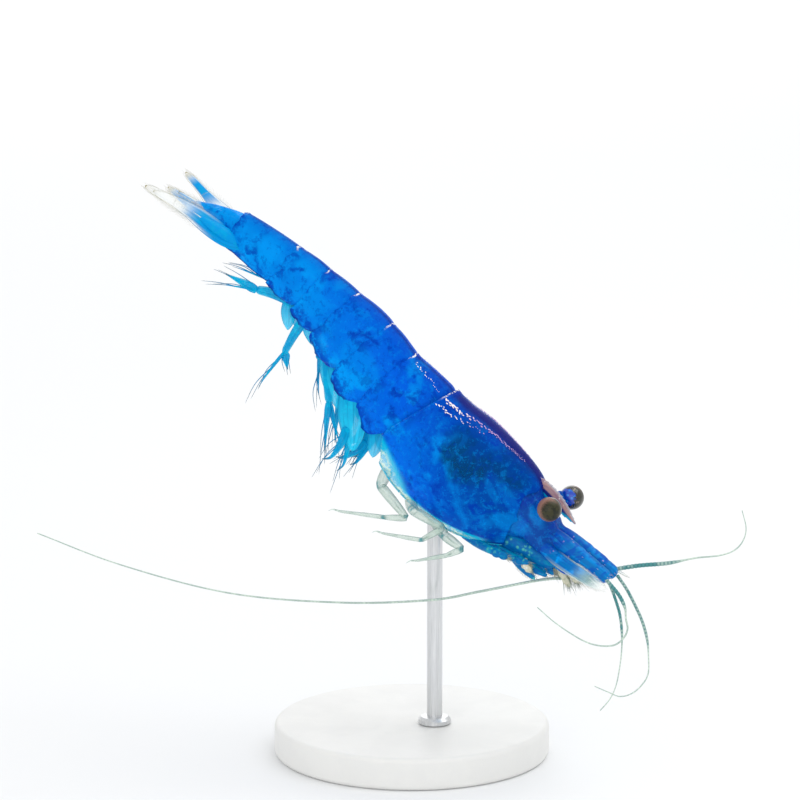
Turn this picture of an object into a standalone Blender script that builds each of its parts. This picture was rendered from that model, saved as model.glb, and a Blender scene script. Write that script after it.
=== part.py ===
"""Freshwater dwarf shrimp swimming head down, held up by a plain display stand.

Sizes and places are in millimetres and degrees; MM turns them into Blender's metres.
+X points towards the head, +Y to the animal's left and +Z up. The origin is the middle
of the base's underside, and the animal's midline lies in the XZ plane. Positions of
paired pieces are given for the left side, and the right side is their mirror image.
A pitch is how steeply a direction drops towards the head.
"""
import math

import bmesh
import bpy
from mathutils import Matrix, Vector

MM = 0.001
GAP = 0.15
SIDES = {"left": 1.0, "right": -1.0}
SHARP_ANGLE = 40.0

# Display stand
BASE_DIAMETER = 12.5
BASE_THICKNESS = 1.5
BASE_EDGE_ROUNDING = 0.25
BASE_SIDES = 48
ROD_DIAMETER = 0.7
ROD_X = 1.15
ROD_TOP = 11.60
ROD_TOP_PITCH = 36.0
ROD_SIDES = 16
ROD_CLEARANCE = 0.05

# Trunk axis: the waist is where carapace and abdomen meet, and each stretch from there
# has a length and a pitch
WAIST = (0.16, 15.84)
WAIST_PITCH = 57.0
CARAPACE_STRETCHES = ((1.48, 51.0), (1.60, 38.0), (1.57, 32.5), (1.30, 27.5), (0.84, 27.0))
SOMITE_STRETCHES = ((1.89, 46.1), (1.75, 48.5), (1.95, 47.0), (1.60, 41.0), (1.60, 36.0), (2.98, 30.0))

# Trunk sections at each axis point: rise above the axis, drop below it, half width
CARAPACE_SECTIONS = (
    (2.28, 2.05, 1.60), (2.50, 2.28, 1.86), (2.62, 2.34, 1.98),
    (2.48, 2.18, 1.84), (2.18, 1.84, 1.54), (1.80, 1.50, 1.24),
)
JOINT_SECTIONS = (
    (2.22, 1.84, 1.50), (1.90, 1.62, 1.36), (1.84, 1.56, 1.30), (1.50, 1.28, 1.08),
    (1.28, 1.12, 0.92), (1.14, 0.98, 0.78), (0.98, 0.78, 0.70),
)
TRUNK_SIDES = 22
SOMITE_RINGS = 5
SOMITE_SWELLS = (0.05, 0.05, 0.13, 0.06, 0.06, 0.06)
PLEURON_DROP = 0.14
BELLY_HOLLOW = 0.40
BREAST_HOLLOW = 0.10
HOLLOW_REACH = 0.7
LOWER_FULLNESS = 2.8
LOWER_TAPER = 0.30

# Head
HEAD_BLOCK_LENGTH = 1.75
HEAD_BLOCK_SECTIONS = ((1.04, 1.05, 1.00), (0.90, 0.95, 0.98), (0.62, 0.80, 0.92), (0.34, 0.62, 0.80))
ROSTRUM_ROOT = (6.20, 13.35)
ROSTRUM_LENGTH = 2.55
ROSTRUM_PITCHES = (44.0, 56.0)
ROSTRUM_DEPTHS = (0.90, 0.50)
ROSTRUM_THICKNESS = 0.5
ROSTRUM_STEPS = 6
EYE_CENTRE = (7.36, 1.20, 12.475)
EYE_DIAMETER = 1.10
EYE_CLEARANCE = 0.06
EYESTALK_ROOT = (6.62, 0.66, 12.30)
EYESTALK_DIAMETERS = (0.62, 0.55)
PEDUNCLE_ROOT = (7.50, 0.46, 10.82)
PEDUNCLE_TIP = (9.86, 0.44, 9.36)
PEDUNCLE_DIAMETERS = (0.92, 0.82, 0.72)
SCALE_ROOT = (7.30, 1.24, 10.15)
SCALE_TIP = (10.10, 1.36, 9.22)
SCALE_LEAF = (1.0, 0.55, 0.50)
SCALE_FACING = (0.5, -0.55, 0.75)
MOUTH_CENTRE = (6.55, 0.0, 9.95)
MOUTH_SIZE = (2.0, 1.3, 0.9)
MOUTH_PITCH = 24.0

# Flat appendages; a leaf outline is its greatest width, then the shares of it at root and tip
BLADE_THICKNESS = 0.5
BLADE_SIDES = 8
LEAF_SKEW = 1.15
TELSON_LENGTH = 3.45
TELSON_PITCH = 22.5
TELSON_LIFT = 0.32
TELSON_WIDTHS = (0.95, 0.42)
UROPOD_TILT = 0.65
UROPOD_LENGTH = 4.45
UROPODS = {
    "inner": {"root": (-8.98, 0.30, 23.02), "leaf": (0.72, 0.48, 0.42), "pitch": 28.0, "splay": 5.5},
    "outer": {"root": (-8.98, 0.74, 23.14), "leaf": (0.95, 0.48, 0.42), "pitch": 34.3, "splay": 16.0},
}

# Swimming legs, one pair under each of the first five somites: place along the somite,
# then the length and pitch of the stalk and of the outer and inner blade
PLEOPODS = (
    {"along": 0.42, "out": 0.40, "left_swing": 6.0,
     "stalk": (1.20, 112.0), "outer": (1.55, 146.0), "inner": (1.20, 124.0)},
    {"along": 0.30, "out": 1.08, "left_swing": 6.0,
     "stalk": (1.60, 95.0), "outer": (1.60, 114.0), "inner": (2.10, 100.0)},
    {"along": 0.42, "out": 0.55, "left_swing": 6.0,
     "stalk": (2.10, 88.0), "outer": (2.30, 90.0), "inner": (1.90, 72.0)},
    {"along": 0.62, "out": 0.60, "left_swing": -34.0,
     "stalk": (1.80, 121.0), "outer": (2.10, 125.0), "inner": (0.70, 80.0)},
    {"along": 0.62, "out": 0.46, "left_swing": 12.0,
     "stalk": (1.35, 192.0), "outer": (1.60, 202.0), "inner": (1.90, 182.0)},
)
PLEOPOD_LEAVES = {"stalk": (0.72, 0.70, 0.75), "outer": (0.66, 0.80, 0.80), "inner": (0.50, 0.80, 0.80)}
PLEOPOD_CLEARANCE = 0.26
STALK_LEAN = 0.10
RAMUS_LEANS = {"outer": 0.05, "inner": -0.02}
KNEE_OVERLAP = 0.20

# Walking legs and mouth legs: joints from the hip to the tip, with a diameter at each
LIMB_DIAMETERS = (0.56, 0.54, 0.52, 0.50, 0.50)
LIMB_SPACING = 0.9
RIGHT_LIMBS = {
    "maxilliped": ((4.98, 0.36, 10.20), (5.60, 0.46, 9.78), (6.30, 0.76, 9.25), (7.00, 0.88, 8.95)),
    "leg_1": ((4.10, 0.56, 10.36), (4.70, 0.94, 9.98), (5.40, 1.04, 9.85), (6.20, 1.20, 9.62)),
    "leg_2": ((2.98, 0.82, 10.66), (3.70, 1.02, 10.14), (4.35, 1.52, 10.08), (5.30, 1.64, 9.92)),
    "leg_3": (
        (1.45, 0.80, 11.34), (2.30, 1.40, 10.75), (3.30, 1.62, 10.30),
        (2.63, 1.86, 9.98), (0.63, 1.95, 9.44),
    ),
    "leg_4": (
        (0.38, 0.95, 12.10), (0.95, 1.85, 11.86), (2.58, 2.10, 11.30),
        (1.50, 2.12, 10.62), (-0.98, 2.14, 10.75),
    ),
    "leg_5": (
        (-0.80, 0.85, 13.34), (-0.92, 1.35, 12.70), (0.53, 1.60, 11.40),
        (-0.57, 1.70, 11.35), (-3.33, 1.80, 11.42),
    ),
}
LEFT_LIMBS = {
    "maxilliped": RIGHT_LIMBS["maxilliped"],
    "leg_1": RIGHT_LIMBS["leg_1"],
    "leg_2": RIGHT_LIMBS["leg_2"],
    "leg_3": (
        (1.45, 0.80, 11.34), (2.30, 1.40, 10.75), (3.20, 1.62, 10.34),
        (2.50, 1.90, 10.15), (1.10, 2.00, 10.50),
    ),
    "leg_4": (
        (0.38, 0.95, 12.10), (0.95, 1.85, 11.86), (2.40, 2.20, 11.35),
        (1.50, 2.40, 11.00), (-0.10, 2.50, 11.75),
    ),
    "leg_5": (
        (-0.80, 0.85, 13.34), (-0.90, 1.45, 12.70), (-0.10, 1.70, 11.90),
        (-0.90, 1.85, 12.10), (-2.20, 1.90, 13.60),
    ),
}

# Feelers: each runs through its own points and is divided into lengths
FEELER_DIAMETER = 0.5
FEELER_SPACINGS = {"antennule": 0.9, "antenna": 1.5}
RIGHT_FEELERS = {
    "antennule_outer": (2, (
        (10.22, -0.66, 9.08), (10.61, -0.80, 8.79), (11.05, -1.08, 8.10), (11.28, -1.40, 7.45),
        (10.83, -1.80, 6.81), (9.68, -2.30, 6.93), (8.55, -2.72, 7.65), (7.60, -3.00, 8.46),
    )),
    "antennule_inner": (2, (
        (10.05, -0.14, 8.88), (10.40, -0.34, 8.00), (10.64, -0.55, 6.98), (10.66, -0.65, 6.00),
        (10.48, -0.80, 4.63), (9.80, -1.00, 3.44),
    )),
    "antenna": (3, (
        (8.45, -0.52, 9.44), (7.55, -0.30, 9.14), (6.26, -0.10, 8.82), (3.75, -0.80, 8.18),
        (1.54, -1.30, 7.65), (-2.69, -1.90, 7.18), (-8.05, -2.50, 7.14), (-13.37, -3.00, 7.97),
        (-17.66, -3.20, 9.04),
    )),
}
LEFT_FEELERS = {
    "antennule_outer": (2, (
        (10.25, 0.62, 9.66), (11.10, 0.95, 9.85), (12.08, 1.30, 9.97), (13.17, 1.80, 10.20),
        (14.35, 2.22, 10.44), (15.08, 2.60, 11.02), (14.85, 3.00, 12.32),
    )),
    "antennule_inner": (2, (
        (10.20, 0.26, 9.08), (10.84, 0.30, 8.22), (11.40, 0.30, 7.00), (11.62, 0.20, 5.60),
        (11.35, 0.00, 4.53), (10.44, -0.30, 4.01), (9.33, -0.60, 4.43),
    )),
    "antenna": (3, (
        (8.45, 0.52, 9.44), (8.00, 1.20, 9.00), (6.90, 2.30, 9.55), (4.20, 3.10, 11.20),
        (1.20, 3.20, 13.50), (-2.40, 2.90, 17.20), (-6.20, 2.50, 20.60), (-10.20, 2.40, 23.20),
    )),
}


def clear_scene():
    for thing in list(bpy.data.objects):
        bpy.data.objects.remove(thing, do_unlink=True)


def make_collection(name):
    collection = bpy.data.collections.new(name)
    bpy.context.scene.collection.children.link(collection)
    return collection


def make_material(name, colour, roughness, metallic=0.0):
    material = bpy.data.materials.new(name)
    material.use_nodes = True
    shader = material.node_tree.nodes["Principled BSDF"]
    shader.inputs["Base Color"].default_value = (*colour, 1.0)
    shader.inputs["Roughness"].default_value = roughness
    shader.inputs["Metallic"].default_value = metallic
    return material


# Directions and curves

def heading(pitch, splay=0.0):
    """Unit vector that drops by pitch towards the head and turns by splay to the left."""
    drop, turn = math.radians(pitch), math.radians(splay)
    return Vector((math.cos(drop) * math.cos(turn), math.sin(turn), -math.sin(drop) * math.cos(turn)))


def upward(pitch):
    """Unit vector in the midplane, square to the heading of that pitch."""
    drop = math.radians(pitch)
    return Vector((math.sin(drop), 0.0, math.cos(drop)))


def on_side(point, side):
    return Vector((point[0], point[1] * side, point[2]))


def blend_values(start, end, share):
    return start + (end - start) * share


def blend_sections(start, end, share):
    return tuple(blend_values(first, second, share) for first, second in zip(start, end))


def walk(start, stretches, sign):
    """Axis points and pitches met when walking stretches forwards (+1) or backwards (-1)."""
    points = [Vector((start[0], 0.0, start[1]))]
    for length, pitch in stretches:
        points.append(points[-1] + heading(pitch) * length * sign)
    pitches = [pitch for _, pitch in stretches]
    between = [(first + second) / 2 for first, second in zip(pitches, pitches[1:])]
    return points, [WAIST_PITCH, *between, pitches[-1]]


def smooth_path(points, spacing):
    """Points about spacing apart on a Catmull-Rom curve through the given points."""
    knots = [Vector(point) for point in points]
    knots = [knots[0] * 2 - knots[1], *knots, knots[-1] * 2 - knots[-2]]
    path = []
    for before, start, end, after in zip(knots, knots[1:], knots[2:], knots[3:]):
        steps = max(2, round((end - start).length / spacing))
        for step in range(steps):
            share = step / steps
            path.append(0.5 * (
                2 * start + (end - before) * share
                + (2 * before - 5 * start + 4 * end - after) * share ** 2
                + (3 * start - before - 3 * end + after) * share ** 3
            ))
    path.append(knots[-2])
    return path


# Shapes

def add_mesh(name, shape, material, collection):
    """Turn a bmesh into a smooth-shaded object and free it."""
    mesh = bpy.data.meshes.new(name)
    shape.to_mesh(mesh)
    shape.free()
    mesh.materials.append(material)
    mesh.shade_smooth()
    mesh.set_sharp_from_angle(angle=math.radians(SHARP_ANGLE))
    piece = bpy.data.objects.new(name, mesh)
    collection.objects.link(piece)
    return piece


def loft(rings, shape=None):
    """Closed body skinned over rings of equal count, capped at both ends."""
    shape = shape or bmesh.new()
    loops = [[shape.verts.new(point * MM) for point in ring] for ring in rings]
    faces = [shape.faces.new(loops[0]), shape.faces.new(reversed(loops[-1]))]
    for near, far in zip(loops, loops[1:]):
        for index, corner in enumerate(near):
            before = index - 1
            faces.append(shape.faces.new((corner, near[before], far[before], far[index])))
    bmesh.ops.recalc_face_normals(shape, faces=faces)
    return shape


def trunk_ring(centre, pitch, section, hollow):
    """Section of the trunk: round above, boxy below, with a hollow belly."""
    rise, drop, half_width = section
    up = upward(pitch)
    ring = []
    for step in range(TRUNK_SIDES):
        angle = 2 * math.pi * (step + 0.5) / TRUNK_SIDES
        across, height = math.sin(angle), math.cos(angle)
        if height >= 0:
            height *= rise
        else:
            across = math.copysign(abs(across) ** (2 / LOWER_FULLNESS), across)
            height = -drop * abs(height) ** (2 / LOWER_FULLNESS)
            across *= 1 - LOWER_TAPER * (height / drop) ** 2
            height *= 1 - hollow * max(0.0, 1 - (across / HOLLOW_REACH) ** 2)
        ring.append(centre + up * height + Vector((0.0, across * half_width, 0.0)))
    return ring


def belly_point(ring, out):
    """Where the lower left side of a trunk ring is out from the midplane."""
    lower = ring[TRUNK_SIDES // 4:TRUNK_SIDES // 2 + 1]
    for outer, inner in zip(lower, lower[1:]):
        if outer.y >= out >= inner.y:
            return blend_values(outer, inner, (outer.y - out) / (outer.y - inner.y))
    raise ValueError("that point is outside the belly")


def trunk_rings(points, pitches, sections, count, swell=0.0, flap=0.0, hollow=0.0):
    """Rings from the first axis point to the last, count of them on each stretch."""
    rings = []
    for index in range(len(points) - 1):
        last = index == len(points) - 2
        for step in range(count + 1 if last else count):
            share = step / count
            bulge = math.sin(math.pi * share)
            rise, drop, width = blend_sections(sections[index], sections[index + 1], share)
            section = (rise * (1 + swell * bulge), drop * (1 + flap * bulge), width * (1 + swell * bulge))
            centre = blend_values(points[index], points[index + 1], share)
            pitch = blend_values(pitches[index], pitches[index + 1], share)
            rings.append(trunk_ring(centre, pitch, section, hollow))
    return rings


def flat_ring(centre, across, over, half_width, half_thickness, sides=BLADE_SIDES):
    ring = []
    for step in range(sides):
        angle = 2 * math.pi * step / sides
        ring.append(centre + across * half_width * math.cos(angle) + over * half_thickness * math.sin(angle))
    return ring


def blade_rings(root, direction, flat, length, half_widths, thickness=BLADE_THICKNESS):
    """Rings of a straight flat blade; flat is roughly square to its faces."""
    across = flat.cross(direction).normalized()
    over = direction.cross(across).normalized()
    last = len(half_widths) - 1
    rings = []
    for index, half_width in enumerate(half_widths):
        centre = root + direction * length * index / last
        half_thickness = min(thickness / 2, half_width)
        rings.append(flat_ring(centre, across, over, half_width, half_thickness))
    return rings


def leaf_widths(leaf, count):
    """Half widths of a leaf outline that is widest a little past its middle."""
    width, root_share, tip_share = leaf
    widths = []
    for index in range(count):
        share = index / (count - 1)
        ends = blend_values(root_share, tip_share, share)
        widths.append(width / 2 * (ends + (1 - ends) * math.sin(math.pi * share ** LEAF_SKEW)))
    return widths


def add_tube(name, points, diameters, material, collection):
    """Round tube through the points, with a diameter at each, made as a bevelled curve."""
    curve = bpy.data.curves.new(name, "CURVE")
    curve.dimensions = "3D"
    curve.bevel_depth = MM / 2
    curve.bevel_resolution = 2
    curve.use_fill_caps = True
    spline = curve.splines.new("POLY")
    spline.points.add(len(points) - 1)
    for knot, point, diameter in zip(spline.points, points, diameters):
        knot.co = (*(point * MM), 1.0)
        knot.radius = diameter
    spline.use_smooth = True
    curve.materials.append(material)
    piece = bpy.data.objects.new(name, curve)
    collection.objects.link(piece)
    return piece


def join_to(piece, other, hidden):
    """Unite another body with a piece and keep it aside as a hidden guide."""
    for collection in list(other.users_collection):
        collection.objects.unlink(other)
    hidden.objects.link(other)
    other.hide_render = True
    other.display_type = "WIRE"
    union = piece.modifiers.new(f"join {other.name}", "BOOLEAN")
    union.operation = "UNION"
    union.object = other


# Pieces of the animal

def build_carapace(shell, parts, hidden):
    points, pitches = walk(WAIST, CARAPACE_STRETCHES, 1)
    points[0] += heading(pitches[0]) * GAP / 2
    rings = trunk_rings(points, pitches, CARAPACE_SECTIONS, 2, hollow=BREAST_HOLLOW)
    carapace = add_mesh("carapace", loft(rings), shell, parts)
    root = Vector((ROSTRUM_ROOT[0], 0.0, ROSTRUM_ROOT[1]))
    rings = []
    for step in range(ROSTRUM_STEPS + 1):
        share = step / ROSTRUM_STEPS
        pitch = blend_values(*ROSTRUM_PITCHES, share)
        depth = blend_values(*ROSTRUM_DEPTHS, share)
        rings.append(flat_ring(root, upward(pitch), Vector((0, 1, 0)), depth / 2, ROSTRUM_THICKNESS / 2))
        root = root + heading(pitch) * ROSTRUM_LENGTH / ROSTRUM_STEPS
    join_to(carapace, add_mesh("rostrum_blade", loft(rings), shell, parts), hidden)


def build_head_block(flesh, parts):
    points, pitches = walk(WAIST, CARAPACE_STRETCHES, 1)
    pitch = pitches[-1]
    start = points[-1] + heading(pitch) * GAP
    count = len(HEAD_BLOCK_SECTIONS) - 1
    rings = []
    for index, section in enumerate(HEAD_BLOCK_SECTIONS):
        centre = start + heading(pitch) * HEAD_BLOCK_LENGTH * index / count
        rings.append(trunk_ring(centre, pitch, section, 0.0))
    add_mesh("head_block", loft(rings), flesh, parts)


def build_abdomen(shell, parts):
    points, pitches = walk(WAIST, SOMITE_STRETCHES, -1)
    for index in range(len(SOMITE_STRETCHES)):
        front = points[index] - heading(pitches[index]) * GAP / 2
        back = points[index + 1] + heading(pitches[index + 1]) * GAP / 2
        rings = trunk_rings(
            (front, back), pitches[index:index + 2], JOINT_SECTIONS[index:index + 2], SOMITE_RINGS - 1,
            swell=SOMITE_SWELLS[index], flap=PLEURON_DROP if index < 5 else 0.03, hollow=BELLY_HOLLOW,
        )
        add_mesh(f"abdomen_{index + 1}", loft(rings), shell, parts)


def build_tail_fan(shell, parts):
    points, _ = walk(WAIST, SOMITE_STRETCHES, -1)
    backward = -heading(TELSON_PITCH)
    root = points[-1] + upward(TELSON_PITCH) * TELSON_LIFT + backward * GAP
    half_widths = [blend_values(*TELSON_WIDTHS, step / 5) / 2 for step in range(6)]
    rings = blade_rings(root, backward, upward(TELSON_PITCH), TELSON_LENGTH, half_widths)
    add_mesh("telson", loft(rings), shell, parts)
    for side_name, side in SIDES.items():
        for name, uropod in UROPODS.items():
            backward = on_side(-heading(uropod["pitch"], -uropod["splay"]), side)
            flat = upward(uropod["pitch"]) - Vector((0.0, side * UROPOD_TILT, 0.0))
            widths = leaf_widths(uropod["leaf"], 7)
            rings = blade_rings(on_side(uropod["root"], side), backward, flat, UROPOD_LENGTH, widths)
            add_mesh(f"uropod_{side_name}_{name}", loft(rings), shell, parts)


def build_pleopods(blade, parts, hidden):
    points, pitches = walk(WAIST, SOMITE_STRETCHES, -1)
    for index, pleopod in enumerate(PLEOPODS):
        share = pleopod["along"]
        centre = blend_values(points[index], points[index + 1], share)
        pitch = blend_values(pitches[index], pitches[index + 1], share)
        rise, drop, width = blend_sections(JOINT_SECTIONS[index], JOINT_SECTIONS[index + 1], share)
        belly = trunk_ring(centre, pitch, (rise, drop * (1 + PLEURON_DROP), width), BELLY_HOLLOW)
        hip = belly_point(belly, pleopod["out"]) - upward(pitch) * PLEOPOD_CLEARANCE
        for side_name, side in SIDES.items():
            swing = pleopod["left_swing"] if side_name == "left" else 0.0
            build_pleopod(f"pleopod_{side_name}_{index + 1}", pleopod, on_side(hip, side), side, swing,
                          (blade, parts, hidden))


def build_pleopod(name, pleopod, hip, side, swing, kit):
    """One swimming leg: a stalk that ends in an outer and an inner blade."""
    blade, parts, hidden = kit
    outward = Vector((0.0, side, 0.0))
    length, pitch = pleopod["stalk"]
    down = (heading(pitch + swing) + outward * STALK_LEAN).normalized()
    rings = blade_rings(hip, down, outward, length, leaf_widths(PLEOPOD_LEAVES["stalk"], 4))
    stalk = add_mesh(name, loft(rings), blade, parts)
    knee = hip + down * (length - KNEE_OVERLAP)
    for ramus, lean in RAMUS_LEANS.items():
        length, pitch = pleopod[ramus]
        along = (heading(pitch + swing) + outward * lean).normalized()
        widths = leaf_widths(PLEOPOD_LEAVES[ramus], 4)
        rings = blade_rings(knee + outward * lean, along, outward, length + KNEE_OVERLAP, widths)
        join_to(stalk, add_mesh(f"{name}_{ramus}", loft(rings), blade, parts), hidden)


def build_limbs(limb, parts):
    for side_name, limbs in (("left", LEFT_LIMBS), ("right", RIGHT_LIMBS)):
        for name, joints in limbs.items():
            points = smooth_path([on_side(joint, SIDES[side_name]) for joint in joints], LIMB_SPACING)
            last = len(points) - 1
            diameters = []
            for index in range(len(points)):
                place = index / last * (len(LIMB_DIAMETERS) - 1)
                lower = min(int(place), len(LIMB_DIAMETERS) - 2)
                first, second = LIMB_DIAMETERS[lower:lower + 2]
                diameters.append(blend_values(first, second, place - lower))
            add_tube(f"{name}_{side_name}", points, diameters, limb, parts)


def build_eyes(cornea, flesh, parts):
    for side_name, side in SIDES.items():
        centre, root = on_side(EYE_CENTRE, side), on_side(EYESTALK_ROOT, side)
        shape = bmesh.new()
        bmesh.ops.create_uvsphere(
            shape, u_segments=14, v_segments=9, radius=EYE_DIAMETER / 2 * MM,
            matrix=Matrix.Translation(centre * MM),
        )
        add_mesh(f"eye_{side_name}", shape, cornea, parts)
        reach = centre - root
        tip = root + reach.normalized() * (reach.length - EYE_DIAMETER / 2 - EYE_CLEARANCE)
        add_tube(f"eyestalk_{side_name}", (root, tip), EYESTALK_DIAMETERS, flesh, parts)


def build_antennal_bases(shell, parts):
    for side_name, side in SIDES.items():
        root, tip = on_side(PEDUNCLE_ROOT, side), on_side(PEDUNCLE_TIP, side)
        points = [blend_values(root, tip, share) for share in (0.0, 0.5, 1.0)]
        add_tube(f"antennule_base_{side_name}", points, PEDUNCLE_DIAMETERS, shell, parts)
        root, tip = on_side(SCALE_ROOT, side), on_side(SCALE_TIP, side)
        reach = tip - root
        facing = on_side(SCALE_FACING, side)
        rings = blade_rings(root, reach.normalized(), facing, reach.length, leaf_widths(SCALE_LEAF, 6))
        add_mesh(f"antennal_scale_{side_name}", loft(rings), shell, parts)


def build_mouthparts(flesh, parts):
    turn = Matrix.Rotation(math.radians(MOUTH_PITCH), 4, "Y")
    size = Matrix.Diagonal((*(Vector(MOUTH_SIZE) * MM), 1.0))
    shape = bmesh.new()
    place = Matrix.Translation(Vector(MOUTH_CENTRE) * MM)
    bmesh.ops.create_cube(shape, size=1.0, matrix=place @ turn @ size)
    mouth = add_mesh("mouthparts", shape, flesh, parts)
    rounding = mouth.modifiers.new("rounding", "SUBSURF")
    rounding.levels = 2
    rounding.render_levels = 2


def build_feelers(thread, parts):
    for side_name, feelers in (("left", LEFT_FEELERS), ("right", RIGHT_FEELERS)):
        for name, (lengths, points) in feelers.items():
            path = smooth_path(points, FEELER_SPACINGS[name.split("_")[0]])
            per_length = math.ceil((len(path) - 1) / lengths)
            for number in range(lengths):
                piece = path[number * per_length:(number + 1) * per_length + 1]
                if number:
                    piece[0] = piece[0] + (piece[1] - piece[0]).normalized() * GAP
                diameters = [FEELER_DIAMETER] * len(piece)
                add_tube(f"{name}_{side_name}_{number + 1}", piece, diameters, thread, parts)


# Display stand

def build_stand(board, steel, parts):
    shape = bmesh.new()
    radius = BASE_DIAMETER / 2 * MM
    bmesh.ops.create_cone(
        shape, cap_ends=True, segments=BASE_SIDES, radius1=radius, radius2=radius,
        depth=BASE_THICKNESS * MM, matrix=Matrix.Translation((0.0, 0.0, BASE_THICKNESS / 2 * MM)),
    )
    base = add_mesh("stand_base", shape, board, parts)
    rounding = base.modifiers.new("edge rounding", "BEVEL")
    rounding.width = BASE_EDGE_ROUNDING * MM
    rounding.segments = 2
    foot = BASE_THICKNESS + ROD_CLEARANCE
    uncut = ROD_TOP + ROD_DIAMETER
    shape = bmesh.new()
    radius = ROD_DIAMETER / 2 * MM
    bmesh.ops.create_cone(
        shape, cap_ends=True, segments=ROD_SIDES, radius1=radius, radius2=radius,
        depth=(uncut - foot) * MM, matrix=Matrix.Translation((ROD_X * MM, 0.0, (uncut + foot) / 2 * MM)),
    )
    cut = bmesh.ops.bisect_plane(
        shape, geom=[*shape.verts, *shape.edges, *shape.faces], dist=MM * 1e-4,
        plane_co=(ROD_X * MM, 0.0, ROD_TOP * MM), plane_no=upward(ROD_TOP_PITCH), clear_outer=True,
    )
    rim = [part for part in cut["geom_cut"] if isinstance(part, bmesh.types.BMEdge)]
    bmesh.ops.contextual_create(shape, geom=rim)
    add_mesh("stand_rod", shape, steel, parts)


def main():
    clear_scene()
    parts = make_collection("dwarf_shrimp")
    hidden = make_collection("guides")
    shell = make_material("blue shell", (0.01, 0.14, 0.62), 0.35)
    flesh = make_material("blue flesh", (0.01, 0.20, 0.55), 0.45)
    blade = make_material("cyan blade", (0.02, 0.50, 0.75), 0.35)
    limb = make_material("teal limb", (0.16, 0.42, 0.42), 0.4)
    thread = make_material("pale feeler", (0.40, 0.55, 0.48), 0.45)
    cornea = make_material("dark cornea", (0.03, 0.03, 0.015), 0.12)
    board = make_material("white base", (0.80, 0.80, 0.78), 0.4)
    steel = make_material("steel rod", (0.60, 0.60, 0.60), 0.3, 1.0)
    build_carapace(shell, parts, hidden)
    build_head_block(flesh, parts)
    build_abdomen(shell, parts)
    build_tail_fan(shell, parts)
    build_pleopods(blade, parts, hidden)
    build_limbs(limb, parts)
    build_eyes(cornea, flesh, parts)
    build_antennal_bases(shell, parts)
    build_mouthparts(flesh, parts)
    build_feelers(thread, parts)
    build_stand(board, steel, parts)


main()
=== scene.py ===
"""Blue freshwater dwarf shrimp on its display stand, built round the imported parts.

Sizes in the tables are in millimetres and angles in degrees; MM turns them into metres.
+X points towards the head, +Y to the animal's left and +Z up. A pitch is how steeply a
direction drops towards the head. Places of paired pieces are given for the left side.
A place on a sheet or tube is (across, along), both from 0 to 1.
"""

import math
import random

import bmesh
import bpy
from bpy.props import FloatProperty, FloatVectorProperty, PointerProperty
from mathutils import Matrix, Vector


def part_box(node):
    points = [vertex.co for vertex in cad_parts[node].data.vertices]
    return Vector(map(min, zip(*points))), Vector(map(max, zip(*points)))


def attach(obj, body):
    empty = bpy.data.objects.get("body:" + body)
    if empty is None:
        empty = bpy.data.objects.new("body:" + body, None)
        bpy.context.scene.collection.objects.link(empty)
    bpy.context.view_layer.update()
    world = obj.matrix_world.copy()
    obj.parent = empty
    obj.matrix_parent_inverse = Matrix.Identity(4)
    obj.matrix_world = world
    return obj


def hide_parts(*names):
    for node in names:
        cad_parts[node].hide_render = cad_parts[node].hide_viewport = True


bl_info = {
    "name": "Dwarf Shrimp Display Model",
    "version": (1, 0, 0),
    "blender": (4, 5, 0),
    "location": "3D View > Sidebar > Shrimp",
    "description": "Builds a life-size blue dwarf shrimp on a display stand",
    "category": "Object",
}

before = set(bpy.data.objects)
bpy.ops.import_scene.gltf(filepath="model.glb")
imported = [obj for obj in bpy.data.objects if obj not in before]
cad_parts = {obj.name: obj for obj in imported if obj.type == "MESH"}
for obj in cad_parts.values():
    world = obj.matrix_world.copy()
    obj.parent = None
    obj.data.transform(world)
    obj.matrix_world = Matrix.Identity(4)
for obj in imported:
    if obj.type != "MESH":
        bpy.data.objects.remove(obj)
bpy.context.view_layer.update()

MM = 0.001
FULL_TURN = 2 * math.pi
BEAD_SEED, FIN_SEED, SWIM_SEED, WALK_SEED, MOUTH_SEED, SCALE_SEED = 5, 11, 23, 31, 43, 53
SIDES = {"left": 1.0, "right": -1.0}
LEFTWARD = Vector((0.0, 1.0, 0.0))
DOWNWARD = Vector((0.0, 0.0, -1.0))

# Trunk axis: the waist is where carapace and abdomen meet, and each stretch from there
# has a length and a pitch
WAIST = (0.16, 15.84)
WAIST_PITCH = 57.0
CARAPACE_STRETCHES = ((1.48, 51.0), (1.6, 38.0), (1.57, 32.5), (1.3, 27.5), (0.84, 27.0))
HEAD_STRETCHES = ((0.6, 27.0), (0.6, 27.0), (0.55, 27.0))
SOMITE_STRETCHES = ((1.89, 46.1), (1.75, 48.5), (1.95, 47.0), (1.6, 41.0), (1.6, 36.0), (2.98, 30.0))

# Trunk sections at each axis point: rise above the axis, drop below it, half width
CARAPACE_SECTIONS = (
    (2.28, 2.05, 1.6), (2.5, 2.28, 1.86), (2.62, 2.34, 1.98), (2.48, 2.18, 1.84), (2.18, 1.84, 1.54),
    (1.8, 1.5, 1.24),
)
HEAD_SECTIONS = ((1.18, 1.16, 1.06), (0.84, 1.02, 0.98), (0.44, 0.8, 0.84))
SOMITE_SECTIONS = (
    (1.9, 1.62, 1.36), (1.84, 1.56, 1.3), (1.5, 1.28, 1.08), (1.28, 1.12, 0.92), (1.14, 0.98, 0.78),
    (0.98, 0.78, 0.7),
)

# How far round from the back the trunk is widest, how much of the drop the belly fills, how
# far the carapace's lower sides tuck in, how deep the flesh lies at the head, and how long
# the flesh's closed ends are at the tail and the head
SIDE_SHARE = 0.6
BELLY_SHARE = 0.86
CARAPACE_TUCK = 0.34
HEAD_INSET = 0.03
FLESH_CAPS = (0.012, 0.03)

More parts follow.
